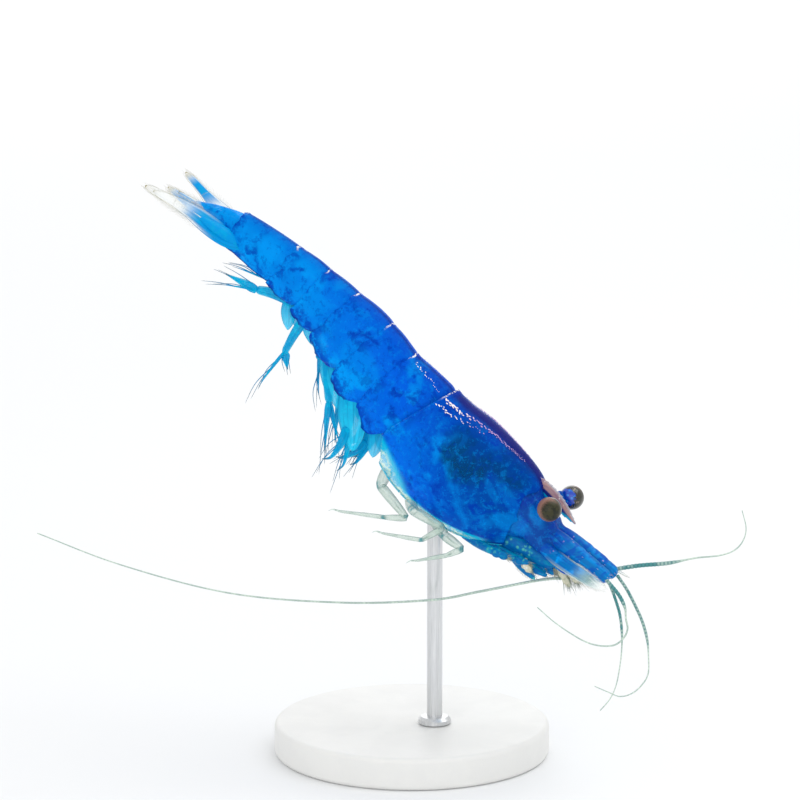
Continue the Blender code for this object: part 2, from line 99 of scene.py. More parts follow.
# Somite shells: how far the side flap falls, how rounded its lobe is, how far back it leans,
# and how far the shell bulges
SOMITES = (
    (1.04, 0.62, 0.0, 0.05), (1.18, 0.3, -0.02, 0.05), (1.15, 0.55, 0.18, 0.1), (1.15, 0.62, 0.24, 0.05),
    (1.13, 0.7, 0.3, 0.05), (0.98, 0.1, 0.05, 0.05),
)
SOMITE_TUCK = 0.2

# Rows of pale beads on the back: real granules, painted pale as the back's highlights. Each row runs from its
# rear to its front end as a place on the trunk and a turn from the ridge; then the bead's size and how many
HIGHLIGHT_BEAD_ROWS = (
    ((0.14, 0.19), (2.35, 0.105), 0.16, 32), ((2.3, 0.11), (3.9, 0.075), 0.08, 66),
    ((0.1, 0.27), (2.2, 0.17), 0.12, 26), ((-0.88, 0.12), (-0.15, 0.17), 0.09, 18),
)
BEAD_SHAPE = (1.7, 0.8, 0.7, 1.0)
BEAD_LIFT = 0.07

# Patches of colour in the body, seen from the side: place, half length, half width, turn
# and, for the light ones, strength
ORGANS = ((3.45, 14.55, 1.45, 1.1, 56.0), (5.45, 14.15, 1.25, 0.8, 52.0))
LIGHT_PATCHES = (
    (0.75, 14.75, 1.6, 1.1, 70.0, 0.12), (-6.8, 23.05, 0.8, 0.75, 30.0, 0.75),
    (5.35, 12.95, 0.9, 0.3, 60.0, 0.25), (4.7, 13.15, 0.7, 0.2, 66.0, 0.25),
    (6.6, 12.0, 0.6, 0.3, 62.0, 0.45), (5.6, 11.55, 0.9, 0.45, 30.0, 0.38),
    (-1.9, 18.1, 1.3, 0.8, 50.0, 0.35), (-4.6, 20.9, 1.0, 0.8, 40.0, 0.4),
)

# Second colours of the rostrum's teeth, the base, the rod and the floor, the default of the
# body's blues, and the size of an eye's facets
PLAIN_BLUE = (0.0, 0.1, 0.8, 1.0)
TOOTH_GREY = (0.62, 0.6, 0.66)
BASE_MOTTLE = (0.74, 0.74, 0.73)
STEEL_STREAK = (0.76, 0.77, 0.78)
FLOOR_CLOUD = (0.84, 0.85, 0.86)
FACET_SIZE = 0.035

# Rostrum: points along its middle, its half depth at each, and its two saws, each with
# how many teeth and the share of the length where they start
ROSTRUM = (
    (5.2, 0.0, 13.98), (6.1, 0.0, 13.42), (6.75, 0.0, 12.98), (7.35, 0.0, 12.42), (7.8, 0.0, 11.92),
    (8.1, 0.0, 11.6),
)
ROSTRUM_DEPTHS = (0.06, 0.18, 0.31, 0.32, 0.23, 0.03)
UPPER_TEETH = (15, 0.1)
LOWER_TEETH = (4, 0.62)
TEETH_END = 0.94
TOOTH_DEPTH = 0.045

# Outlines of leaves, as shares of the half width from root to tip
TELSON_OUTLINE = (0.46, 0.5, 0.48, 0.43, 0.37, 0.31, 0.26, 0.2)
PADDLE_OUTLINE = (0.8, 1.0, 0.92, 0.72, 0.48, 0.26, 0.08)
SKIRT_OUTLINE = (0.85, 1.0, 0.95, 0.7, 0.35)
MOUTH_LEAF_OUTLINE = (0.6, 1.0, 0.95, 0.75, 0.35)
SCALE_OUTLINE = (0.55, 0.85, 1.0, 1.0, 0.92, 0.78, 0.5)

# Tail fan: the uropods' root, width, length, pitch, splay, rise of the right one at root,
# middle and tip, and outline; then how solid each one's blue is from root to tip
TELSON_ROOT_LIFT = 0.32
TELSON_LENGTH = 3.45
TELSON_PITCH = 22.5
TELSON_OVERLAP = 0.35
TELSON_SPINES = (0.45, 0.6, 0.74, 0.86)
UROPOD_SPINES = 9
UROPOD_TILT = 0.65
UROPODS = {
    "inner": (
        (-8.98, 0.3, 23.02), 0.86, 4.3, 28.0, 5.5, (0.45, 0.42, 0.1),
        (0.8, 0.86, 0.94, 1.0, 0.98, 0.86, 0.62, 0.3),
    ),
    "outer": (
        (-8.98, 0.74, 23.14), 1.1, 4.42, 34.3, 16.0, (0.22, 0.4, 0.05),
        (0.8, 0.92, 1.0, 0.94, 0.72, 0.52, 0.42, 0.3),
    ),
}
UROPOD_CORES = {
    ("left", "inner"): (1.0, 1.0, 0.9, 0.5, 1.0, 0.9, 0.1),
    ("left", "outer"): (1.0, 0.8, 0.2, 0.1, 0.9, 1.0, 0.1),
    ("right", "inner"): (1.0, 1.0, 1.0, 0.9, 0.0, 0.0, 0.0),
    ("right", "outer"): (1.0, 1.0, 1.0, 0.9, 0.0, 0.0, 0.0),
}

# Body of the tail's root, which the blades grow from: its middle line, half height and half width
TAIL_ROOT = ((-7.45, 0.0, 22.86), (-8.52, 0.0, 23.41), (-9.85, 0.0, 23.85), (-11.33, 0.0, 24.56))
TAIL_ROOT_HEIGHTS = (0.62, 0.8, 0.66, 0.18)
TAIL_ROOT_WIDTH = 0.76

# Swimming legs from front to rear: hip and swing of the left one; length, pitch and width of
# the stalk; the same of the outer and inner blade, with how far the tip curls forwards; and
# of the skirt, the soft web between leg and body
PLEOPODS = (
    ((-1.63, 0.4, 15.48), 6.0, (1.2, 112.0, 0.7),
     (1.6, 150.0, 0.46, -0.6), (1.4, 126.0, 0.4, -0.5), (1.75, 96.0, 1.2)),
    ((-2.49, 1.08, 16.68), 6.0, (1.6, 95.0, 0.8),
     (1.9, 128.0, 0.46, -0.8), (2.1, 106.0, 0.38, -0.7), (2.6, 88.0, 1.6)),
    ((-3.88, 0.55, 18.14), 6.0, (2.1, 88.0, 0.66),
     (2.3, 92.0, 0.32, 0.1), (1.9, 74.0, 0.3, 0.15), (2.5, 76.0, 1.45)),
    ((-5.18, 0.6, 19.66), -34.0, (1.8, 121.0, 0.52),
     (2.1, 125.0, 0.17, 0.16), (0.7, 80.0, 0.46, 0.05), (1.15, 70.0, 0.8)),
    ((-6.28, 0.46, 20.67), 12.0, (1.35, 192.0, 0.62),
     (1.6, 202.0, 0.46, 0.04), (1.9, 182.0, 0.12, 0.05), (1.05, 92.0, 0.8)),
)
STALK_LEAN = 0.1
BLADE_LEANS = (0.05, -0.02)

# Mouth legs and walking legs: joints from the hip to the tip
FRONT_LIMBS = {
    "maxilliped": ((4.6, 0.5, 10.8), (5.6, 0.5, 10.04), (6.35, 0.76, 9.56), (7.1, 0.84, 9.3)),
    "leg_1": ((4.1, 0.56, 10.46), (4.8, 0.9, 10.22), (5.55, 1.0, 10.0), (6.35, 1.14, 9.82)),
    "leg_2": ((2.98, 0.82, 10.8), (3.8, 1.02, 10.46), (4.6, 1.44, 10.36), (5.5, 1.56, 10.12)),
}
WALKING_LEGS = {
    "left": {
        "leg_3": (
            (1.45, 0.8, 11.34), (2.3, 1.4, 10.75), (3.2, 1.62, 10.34), (2.5, 1.9, 10.15), (1.1, 2.0, 10.5),
        ),
        "leg_4": (
            (0.38, 0.95, 12.1), (0.95, 1.85, 11.86), (2.4, 2.2, 11.35), (1.5, 2.4, 11.0),
            (-0.1, 2.5, 11.75),
        ),
        "leg_5": (
            (-0.8, 0.85, 13.34), (-0.9, 1.45, 12.7), (-0.1, 1.7, 11.9), (-0.9, 1.85, 12.1),
            (-2.2, 1.9, 13.6),
        ),
    },
    "right": {
        "leg_3": (
            (1.45, 0.8, 11.34), (2.3, 1.4, 10.75), (3.3, 1.62, 10.3), (2.63, 1.86, 9.98),
            (0.63, 1.95, 9.44),
        ),
        "leg_4": (
            (0.38, 0.95, 12.1), (0.95, 1.85, 11.86), (2.58, 2.1, 11.3), (1.5, 2.12, 10.62),
            (-0.98, 2.14, 10.75),
        ),
        "leg_5": (
            (-0.8, 0.85, 13.34), (-0.92, 1.35, 12.7), (0.53, 1.6, 11.4), (-0.57, 1.7, 11.35),
            (-3.33, 1.8, 11.42),
        ),
    },
}
LEG_DIAMETERS = (0.58, 0.5, 0.33, 0.24, 0.11)
PINCER_DIAMETERS = (0.44, 0.42, 0.38, 0.24)
MAXILLIPED_DIAMETERS = (0.66, 0.5, 0.4, 0.16)
CLAW_LENGTH = 0.52
MAXILLIPED_HAIRS = 70
LEG_SPINES = 9

# Mouth: middle line of the lip; leaves with root, tip, width and bow; soft lobes with root,
# tip and width; tufts with root, tip and how many hairs
LIP = ((3.8, 0.0, 11.3), (5.2, 0.0, 10.62), (6.5, 0.0, 10.08), (7.62, 0.0, 9.72))
MOUTH_LEAVES = (
    ((5.05, 0.62, 10.42), (6.52, 0.86, 9.08), 0.6, 0.1), ((5.6, 0.42, 10.3), (6.95, 0.62, 9.32), 0.62, 0.14),
    ((6.1, 0.34, 10.2), (7.3, 0.46, 9.3), 0.56, 0.1), ((6.6, 0.28, 10.1), (7.75, 0.34, 9.3), 0.5, 0.06),
    ((7.05, 0.26, 10.0), (8.15, 0.28, 9.2), 0.4, 0.04),
)
MOUTH_LOBES = (
    ((5.96, 0.98, 9.98), (6.46, 1.08, 9.44), 0.52), ((7.5, 0.5, 9.85), (8.12, 0.62, 8.85), 0.48),
    ((7.85, 0.45, 9.7), (8.52, 0.5, 9.02), 0.38),
)
MOUTH_TUFTS = (
    ((7.3, -0.55, 9.65), (7.65, -0.62, 9.0), 22), ((7.75, -0.5, 9.55), (8.2, -0.52, 8.35), 34),
    ((8.05, -0.42, 9.45), (8.75, -0.35, 8.75), 30), ((8.35, -0.38, 9.4), (9.4, -0.4, 8.75), 24),
)

# Head: middle lines of the eyestalk and of the parts of a feeler's base
EYESTALK = ((6.4, 0.42, 12.12), (6.85, 0.8, 12.34), (7.16, 1.05, 12.42))
PEDUNCLE = ((6.2, 0.22, 11.55), (7.3, 0.32, 10.94), (8.7, 0.42, 10.12), (9.92, 0.4, 9.34))
PEDUNCLE_JOINTS = (0.64, 0.835)
PEDUNCLE_HAIRS = 10
ANTENNA_BASE = ((6.2, 0.6, 11.1), (7.2, 0.76, 10.36), (7.95, 0.78, 9.78), (8.5, 0.52, 9.44))
ANTENNA_BASE_DIAMETERS = (0.5, 0.72, 0.6, 0.3)
SCALE = ((6.35, 0.45, 10.95), (7.6, 1.02, 10.32), (9.15, 1.27, 9.6), (10.12, 1.28, 9.14))
SCALE_FACING = (0.4, 0.5, 0.6)
SCALE_HALF_WIDTH = 0.38

# Swellings of the head's front that run out onto the feeler bases: radii at root and end, points
FRONT_SWELLS = (
    (0.52, 0.2, ((6.0, 0.22, 11.72), (7.05, 0.3, 11.1), (8.3, 0.4, 10.36))),
    (0.46, 0.18, ((6.0, 0.5, 11.25), (6.95, 0.7, 10.52), (7.9, 0.8, 9.86))),
)

# Eyes: which way the dark face of the left eye looks and the blue glint of its inner side,
# and how many meridians and rings each sphere has
EYE_FACING = Vector((0.61, 0.79, 0.02))
EYE_GLINT = Vector((-0.12, -0.97, 0.19))
EYE_MERIDIANS, EYE_RINGS = 72, 48

# Feelers: root diameter, tip diameter, share of the length that is the thick root, points
FEELERS = {
    "left": {
        "antennule_outer": (0.21, 0.05, 0.4, (
            (9.66, 0.48, 9.56), (9.96, 0.58, 9.64), (10.85, 0.9, 9.81), (12.08, 1.3, 9.97),
            (13.17, 1.8, 10.21),
            (14.15, 2.1, 10.36), (14.74, 2.4, 10.59), (15.08, 2.6, 11.02), (15.14, 2.8, 11.58),
            (14.85, 3.0, 12.32),
        )),
        "antennule_inner": (0.16, 0.05, 0.45, (
            (10.0, 0.3, 9.42), (10.44, 0.3, 8.87), (10.84, 0.3, 8.22), (11.24, 0.3, 7.44), (11.49, 0.3, 6.64),
            (11.59, 0.25, 5.88), (11.62, 0.15, 5.08), (11.35, 0.0, 4.53), (10.93, -0.15, 4.15),
            (10.44, -0.3, 4.01), (9.94, -0.45, 4.19), (9.33, -0.6, 4.43),
        )),
        "antenna": (0.2, 0.06, 0.04, (
            (8.45, 0.52, 9.44), (8.0, 1.2, 9.0), (6.9, 2.3, 9.55), (4.2, 3.1, 11.2), (1.2, 3.2, 13.5),
            (-2.4, 2.9, 17.2), (-6.2, 2.5, 20.6), (-10.2, 2.4, 23.2),
        )),
    },
    "right": {
        "antennule_outer": (0.19, 0.05, 0.22, (
            (9.8, -0.5, 9.4), (10.1, -0.6, 9.18), (10.61, -0.8, 8.79), (10.97, -1.0, 8.33),
            (11.11, -1.2, 7.89),
            (11.28, -1.4, 7.5), (11.18, -1.6, 7.12), (10.83, -1.8, 6.81), (10.27, -2.0, 6.75),
            (9.68, -2.3, 6.93), (9.03, -2.6, 7.34), (8.29, -2.8, 7.85), (7.6, -3.0, 8.46),
        )),
        "antennule_inner": (0.15, 0.05, 0.45, (
            (9.78, -0.42, 9.42), (9.98, -0.36, 9.05), (10.27, -0.4, 8.42), (10.52, -0.5, 7.78),
            (10.64, -0.55, 6.98), (10.67, -0.65, 6.16), (10.6, -0.7, 5.4), (10.48, -0.8, 4.63),
            (10.24, -0.9, 4.02), (9.8, -1.0, 3.44),
        )),
        "antenna": (0.2, 0.06, 0.04, (
            (8.45, -0.52, 9.44), (7.55, -0.3, 9.14), (6.26, -0.1, 8.82), (3.75, -0.8, 8.18),
            (1.54, -1.3, 7.65),
            (-2.69, -1.9, 7.18), (-8.05, -2.5, 7.14), (-13.37, -3.0, 7.97), (-17.66, -3.2, 9.04),
        )),
    },
}
FEELER_LENGTHS = {"antennule_outer": 2, "antennule_inner": 2, "antenna": 3}
FEELER_RING = 0.17

# Stand and stage: the rod's collar is given in shares of its radius and heights over its
# foot, the floor's reach and the camera's clipping in metres; a lamp has its place, its
# size in metres and its power in watts
DISC_EDGE = 0.25
DISC_STEPS, ROD_STEPS = 160, 40
ROD_SLOPE = 36.0
ROD_SHARP_ANGLE = 35.0
ROD_COLLAR = ((2.1, 0.0), (2.1, 0.18), (1.75, 0.3), (1.0, 0.34))
FLOOR_REACH = 12.0
STUDIO_BRIGHTNESS = 0.84
CAMERA_SENSOR = 36.0
CAMERA_CLIP = (0.01, 40.0)
TARGET = Vector((-0.6, 0.0, 16.4))
CAMERA_TURN, CAMERA_RISE, CAMERA_REACH, CAMERA_LENS = 26.0, 13.0, 250.0, 250.0
LAMPS = {
    "key light": ((60.0, 40.0, 150.0), 0.12, 0.08),
    "back light": ((-120.0, 200.0, 120.0), 0.2, 0.1),
    "front light": ((40.0, -180.0, 60.0), 0.2, 0.1),
}


# Directions, curves and small sums

def heading(pitch, splay=0.0):
    """Unit vector that drops by pitch towards the head and turns by splay to the left."""
    drop, turn = math.radians(pitch), math.radians(splay)
    return Vector((math.cos(drop) * math.cos(turn), math.sin(turn), -math.sin(drop) * math.cos(turn)))


def upward(pitch):
    """Unit vector in the midplane, square to the heading of that pitch."""
    drop = math.radians(pitch)
    return Vector((math.sin(drop), 0.0, math.cos(drop)))


def on_side(point, side):
    return Vector((point[0], point[1] * side, point[2]))


def all_on_side(points, side):
    return [on_side(point, side) for point in points]


def blend(start, end, share):
    return start + (end - start) * share


def ramp(value, low, high):
    """0 up to low, 1 from high, and a soft step between them."""
    share = min(1.0, max(0.0, (value - low) / (high - low)))
    return share * share * (3 - 2 * share)


def hump(value, middle, width):
    """1 at the middle, falling smoothly to 0 on both sides."""
    return math.exp(-((value - middle) / width) ** 2)


def round_ends(along, root=0.03, tip=0.05):
    """1 along most of a piece, falling to 0 as a half circle at each end."""
    near = min(1.0, along / root, (1 - along) / tip)
    return math.sqrt(max(0.0, 1 - (1 - near) ** 2))


def rounded(radius, root, tip, taper=0.0):
    """Radius along a tube that has rounded ends and loses the taper's share of it at its tip."""
    return lambda along: radius * (1 - taper * along) * round_ends(along, root, tip)


def outlined(half_width, outline, root, tip):
    """Half width along a leaf that has rounded ends and the outline's shares of its greatest half width."""
    return lambda along: half_width * spread(outline, along) * round_ends(along, root, tip)


def stray(draw):
    return Vector([draw.uniform(-1, 1) for _ in range(3)])


def curve_value(before, start, end, after, share):
    """Catmull-Rom value between start and end."""
    return 0.5 * (
        2 * start + (end - before) * share
        + (2 * before - 5 * start + 4 * end - after) * share ** 2
        + (3 * start - before - 3 * end + after) * share ** 3
    )


def neighbours(values, steps):
    """The four values round a place that many steps in, and the share between the middle two."""
    index = min(int(steps), len(values) - 2)
    picks = [values[min(max(index + shift, 0), len(values) - 1)] for shift in (-1, 0, 1, 2)]
    return picks, steps - index


def spread(values, share):
    """Smooth value at a share of the way through evenly spaced values."""
    picks, between = neighbours(values, min(max(share, 0.0), 1.0) * (len(values) - 1))
    return curve_value(*picks, between)


class Path:
    """Smooth line through points that is read by the share of its length."""

    def __init__(self, points, spacing=0.05):
        knots = [Vector(point) for point in points]
        knots = [knots[0] * 2 - knots[1], *knots, knots[-1] * 2 - knots[-2]]
        self.points = []
        for before, start, end, after in zip(knots, knots[1:], knots[2:], knots[3:]):
            steps = max(2, round((end - start).length / spacing))
            for step in range(steps):
                self.points.append(curve_value(before, start, end, after, step / steps))
        self.points.append(knots[-2])
        self.marks = [0.0]
        for first, second in zip(self.points, self.points[1:]):
            self.marks.append(self.marks[-1] + (second - first).length)
        self.length = self.marks[-1]

    def at(self, share):
        """The point and the direction at that share of the length."""
        mark = min(1.0, max(0.0, share)) * self.length
        low, high = 0, len(self.marks) - 1
        while high - low > 1:
            middle = (low + high) // 2
            low, high = (middle, high) if self.marks[middle] <= mark else (low, middle)
        step = self.points[high] - self.points[low]
        return self.points[low] + step * ((mark - self.marks[low]) / step.length), step.normalized()

    def share_near(self, point):
        """The share of the length at which the line passes nearest to a point."""
        gaps = [(place - Vector(point)).length for place in self.points]
        return self.marks[gaps.index(min(gaps))] / self.length


def bent_path(joints, corner=0.14):
    """Path that runs straight between joints and turns tightly at each."""
    joints = [Vector(joint) for joint in joints]
    points = [joints[0]]
    for before, joint, after in zip(joints, joints[1:], joints[2:]):
        points.append(blend(joint, before, corner))
        points.append(blend(joint, blend(before, after, 0.5), corner * 0.3))
        points.append(blend(joint, after, corner))
    return Path([*points, joints[-1]], 0.03)


def bowed(start, end, bow):
    """Path from start to end whose middle is moved by bow."""
    return Path((start, blend(start, end, 0.5) + bow, end))


def walk(start, stretches, sign):
    """Axis points met when walking stretches forwards (+1) or backwards (-1)."""
    points = [Vector((start[0], 0.0, start[1]))]
    for length, pitch in stretches:
        points.append(points[-1] + heading(pitch) * length * sign)
    return points


def trunk_stations():
    """Axis point, pitch and section at each place from the tail's end to the head's front."""
    front = CARAPACE_STRETCHES + HEAD_STRETCHES
    behind = walk(WAIST, SOMITE_STRETCHES, -1)
    pitches = [pitch for _, pitch in reversed(SOMITE_STRETCHES)]
    pitches = [pitches[0], *((a + b) / 2 for a, b in zip(pitches, pitches[1:])), WAIST_PITCH]
    ahead_pitches = [pitch for _, pitch in front]
    pitches += [(a + b) / 2 for a, b in zip(ahead_pitches, ahead_pitches[1:])] + [ahead_pitches[-1]]
    sections = [*reversed(SOMITE_SECTIONS), *CARAPACE_SECTIONS, *HEAD_SECTIONS]
    points = [*reversed(behind[1:]), *walk(WAIST, front, 1)]
    return [(point, pitch, *section) for point, pitch, section in zip(points, pitches, sections)]


STATIONS = trunk_stations()
TAIL_END = -len(SOMITE_STRETCHES)
FRONT_END = len(CARAPACE_STRETCHES)
HEAD_END = FRONT_END + len(HEAD_STRETCHES)


def trunk_station(place):
    """Smoothed station; place is 0 at the waist, +1 per carapace stretch, -1 per somite."""
    steps = min(max(place, TAIL_END), HEAD_END) - TAIL_END
    picks, share = neighbours(STATIONS, steps)
    centre, pitch, rise, drop, width = (curve_value(*values, share) for values in zip(*picks))
    over = place - TAIL_END - steps
    return centre + heading(pitch) * over * 1.5, pitch, rise, drop, width


def trunk_point(place, around, lift, fall, tuck):
    """Point on the trunk's shell: around is 0 on the back, 0.6 at the widest, 1 at the lower margin."""
    centre, pitch, rise, drop, width = trunk_station(place)
    turn = min(abs(around), SIDE_SHARE) / SIDE_SHARE * math.pi / 2
    below = max(0.0, abs(around) - SIDE_SHARE) / (1 - SIDE_SHARE)
    out = (width + lift) * math.sin(turn) * (1 - tuck * below ** 2)
    height = (rise + lift) * math.cos(turn) - drop * fall * below
    return centre + upward(pitch) * height + Vector((0.0, math.copysign(out, around), 0.0))


# Meshes; a mark is a vertex attribute that is worked out from (across, along)

def always(value):
    return lambda across, along: value


def lengthwise(across, along):
    return along


def crosswise(across, along):
    return math.cos(FULL_TURN * across)


def to_margin(across, along):
    return abs(crosswise(across, along))


LIMB_MARKS = {"joint": always(0.0), "along": lengthwise, "edge": to_margin}
HAIR_MARKS = {"along": lengthwise, "edge": always(1.0)}


def sheet(columns, rows, place, shape, material=0, **marks):
    """Grid bent so that each corner lies at place(across, along)."""
    layers = {}
    for name in marks:
        layers[name] = shape.verts.layers.float.get(name) or shape.verts.layers.float.new(name)
    made = bmesh.ops.create_grid(shape, x_segments=columns, y_segments=rows, size=0.5)["verts"]
    for face in {face for vert in made for face in vert.link_faces}:
        face.material_index = material
    for vert in made:
        across, along = vert.co.x + 0.5, vert.co.y + 0.5
        for name, mark in marks.items():
            vert[layers[name]] = mark(across, along)
        vert.co = place(across, along) * MM
    return shape


def close_seams(shape):
    bmesh.ops.remove_doubles(shape, verts=shape.verts, dist=MM * 1e-5)
    bmesh.ops.recalc_face_normals(shape, faces=shape.faces)
    return shape


def tube(shape, columns, rows, path, radius, facing=LEFTWARD, flat=1.0, material=0, **marks):
    """Round or flattened tube on a Path; radius(along) is 0 where an end closes."""
    def place(across, along):
        centre, direction = path.at(along)
        side = direction.cross(facing).normalized()
        over = side.cross(direction)
        angle = FULL_TURN * across
        reach = radius(along)
        return centre + side * reach * math.cos(angle) + over * reach * flat * math.sin(angle)
    return sheet(columns, rows, place, shape, material, **marks)


class Blade:
    """Thin leaf along a Path: half_width(along) is its outline, facing is what its flat side looks at."""

    def __init__(self, path, half_width, facing, cup):
        self.path, self.half_width, self.facing, self.cup = path, half_width, facing, cup

    def point(self, along, out, height=0.0):
        """Point that is out (-1 to 1) across the blade and height above its middle surface."""
        centre, direction = self.path.at(along)
        side = direction.cross(self.facing).normalized()
        reach = self.half_width(along)
        return centre + side * reach * out + side.cross(direction) * (height - self.cup * reach * out * out)

    def build(self, shape, columns, rows, thickness, core=lambda along: 1.0, tint=1.0):
        """Closed mesh of the blade: thickness(along) is that of its middle, core(along) is how solid
        its colour is, and tint is how far it takes on the colour of a tip."""
        def place(across, along):
            depth = thickness(along) / 2 * round_ends(along)
            return self.point(along, crosswise(across, along), depth * math.sin(FULL_TURN * across))
        sheet(
            columns, rows, place, shape,
            edge=lambda across, along: max(to_margin(across, along), ramp(along, 0.9, 1.0)),
            along=lambda across, along: along * tint, across=crosswise,
            core=lambda across, along: core(along),
        )

    def fringe(self, shape, draw, sides, span, count, length, lean, thickness):
        """Bristles along the margins: lean is how much each one follows the blade rather than its side."""
        for side in sides:
            for number in range(count):
                along = blend(*span, (number + draw.random()) / count)
                root, middle = self.point(along, side * 0.96), self.point(along, 0.0)
                _, direction = self.path.at(along)
                outward = (root - middle).normalized()
                tilt = lean + (1 - lean) * ramp(along, 0.75, 1.0)
                aim = (outward * (1 - tilt) + direction * tilt).normalized()
                reach = length * (0.75 + 0.4 * draw.random()) * (1 - 0.35 * abs(2 * along - 1) ** 3)
                bristle(shape, root, aim, reach, thickness, direction * reach * 0.18)


def bristle(shape, root, aim, length, thickness, droop=Vector()):
    """One hair with three sides, pointed at both ends, that bends by droop at its tip."""
    side = aim.cross(Vector((0.31, 0.52, 0.79))).normalized()
    over = side.cross(aim)

    def place(across, along):
        angle = FULL_TURN * across
        reach = thickness / 2 * (0.0 if along in (0.0, 1.0) else 1.15 - along)
        centre = root + aim * length * along + droop * along * along
        return centre + side * reach * math.cos(angle) + over * reach * math.sin(angle)
    sheet(3, 4, place, shape, 1, **HAIR_MARKS)


def tuft(shape, draw, root, aim, count, length, fan, thickness):
    """Bunch of bristles that fan out from one place."""
    for _ in range(count):
        off = stray(draw)
        reach = length * draw.uniform(0.55, 1.0)
        bristle(
            shape, root + off * 0.05, (aim + off * fan).normalized(), reach, thickness,
            stray(draw) * reach * 0.12,
        )


def limb(shape, joints, diameters, columns=14, tip_share=0.02, pinch=0.2):
    """Jointed leg: each segment swells between its joints, and joint marks the ends of the segments."""
    path = bent_path(joints)
    shares = [path.share_near(joint) for joint in joints]
    shares[0], shares[-1] = 0.0, 1.0

    def radius(along):
        index = max(0, sum(along > share for share in shares[:-1]) - 1)
        part = (along - shares[index]) / (shares[index + 1] - shares[index])
        thick = blend(diameters[index], diameters[index + 1], part) / 2
        if index < len(joints) - 2 or part < 0.5:
            thick *= 1 - pinch + 1.2 * pinch * math.sin(math.pi * part) ** 0.5
        return thick * round_ends(along, 0.01, tip_share)

    def joint(across, along):
        gap = min(abs(along - share) for share in shares[1:-1]) * path.length
        return 1 - ramp(gap, 0.05, 0.17)
    tube(shape, columns, max(30, round(path.length / 0.05)), path, radius, **{**LIMB_MARKS, "joint": joint})
    return path


def add_piece(name, shape, materials, nodes=()):
    """Turn a bmesh into a smooth piece that rides on the frame and stands for its nodes."""
    mesh = bpy.data.meshes.new(name)
    shape.to_mesh(mesh)
    shape.free()
    for material in materials:
        mesh.materials.append(material)
    mesh.shade_smooth()
    piece = bpy.data.objects.new(name, mesh)
    bpy.context.scene.collection.objects.link(piece)
    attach(piece, "root")
    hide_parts(*nodes)
    return piece


def finish_with(piece, kind, **settings):
    """Add a modifier with the given settings."""
    modifier = piece.modifiers.new(kind.title(), kind)
    for name, value in settings.items():
        setattr(modifier, name, value)


def thin_sizes(sizes):
    """Thickness of the thinnest blades and of the finest hairs, in millimetres."""
    return sizes.leaf_thickness / MM, sizes.bristle_thickness / MM


# Shader nodes

def put(tree, kind, inputs=None, **settings):
    """Add a node; each input gets a plain value or a Signal, and a plain colour has three parts."""
    node = tree.nodes.new(kind)
    node.location = (200 * (len(tree.nodes) % 12), -220 * (len(tree.nodes) // 12))
    for name, value in settings.items():
        setattr(node, name, value)
    for name, value in (inputs or {}).items():
        socket = node.inputs[name]
        if isinstance(value, Signal):
            tree.links.new(value.socket, socket)
        else:
            socket.default_value = (*value, 1.0) if socket.type == "RGBA" else value
    return node


class Signal:
    """Number, colour or place that leaves a node; each sum or blend of it adds a node behind that one."""

    def __init__(self, node, output=0):
        self.socket = node.outputs[output]

    def then(self, kind, inputs, output=0, **settings):
        return Signal(put(self.socket.id_data, kind, inputs, **settings), output)

    def maths(self, operation, other=0.0):
        return self.then("ShaderNodeMath", {0: self, 1: other}, operation=operation)

    def __add__(self, other):
        return self.maths("ADD", other)

    def __sub__(self, other):
        return self.maths("SUBTRACT", other)

    def __mul__(self, other):
        return self.maths("MULTIPLY", other)

    def __truediv__(self, other):
        return self.maths("DIVIDE", other)

    def __rsub__(self, other):
        return self.then("ShaderNodeMath", {0: other, 1: self}, operation="SUBTRACT")

    def __rtruediv__(self, other):
        return self.then("ShaderNodeMath", {0: other, 1: self}, operation="DIVIDE")

    def top(self, other):
        """The greater of the two."""
        return self.maths("MAXIMUM", other)

    def ramp(self, low, high, start=0.0, end=1.0, kind="SMOOTHSTEP"):
        inputs = {0: self, 1: low, 2: high, 3: start, 4: end}
        return self.then("ShaderNodeMapRange", inputs, interpolation_type=kind)

    def mix(self, first, second):
        """First number where this is 0 and second where it is 1."""
        return self.then("ShaderNodeMix", {0: self, 2: first, 3: second})

    def blend(self, first, second):
        """First colour where this is 0 and second where it is 1."""
        return self.then("ShaderNodeMix", {0: self, 6: first, 7: second}, 2, data_type="RGBA")

    def stretched(self, shares):
        return self.then("ShaderNodeVectorMath", {0: self, 1: shares}, operation="MULTIPLY")

    def noise(self, scale, detail=2.0, roughness=0.5, distortion=0.0):
        inputs = {"Vector": self, "Scale": scale, "Detail": detail}
        inputs.update(Roughness=roughness, Distortion=distortion)
        return self.then("ShaderNodeTexNoise", inputs)

    def bump(self, strength, depth):
        inputs = {"Height": self, "Strength": strength, "Distance": depth * MM}
        return self.then("ShaderNodeBump", inputs)


def layers(base, *coats):
    """Colour with coats laid over it, each a mask and the colour it brings."""
    for mask, colour in coats:
        base = mask.blend(base, colour)
    return base


def read_marks(tree, names):
    return [Signal(put(tree, "ShaderNodeAttribute", attribute_name=name), "Fac") for name in names.split()]


def object_place(tree):
    """Object coordinates in millimetres."""
    place = Signal(put(tree, "ShaderNodeTexCoord"), "Object")
    return place.then("ShaderNodeVectorMath", {0: place, "Scale": 1 / MM}, operation="SCALE")


def side_view(place):
    """How far a place lies towards the head, and how high."""
    parts = put(place.socket.id_data, "ShaderNodeSeparateXYZ", {0: place})
    return Signal(parts, "X"), Signal(parts, "Z")


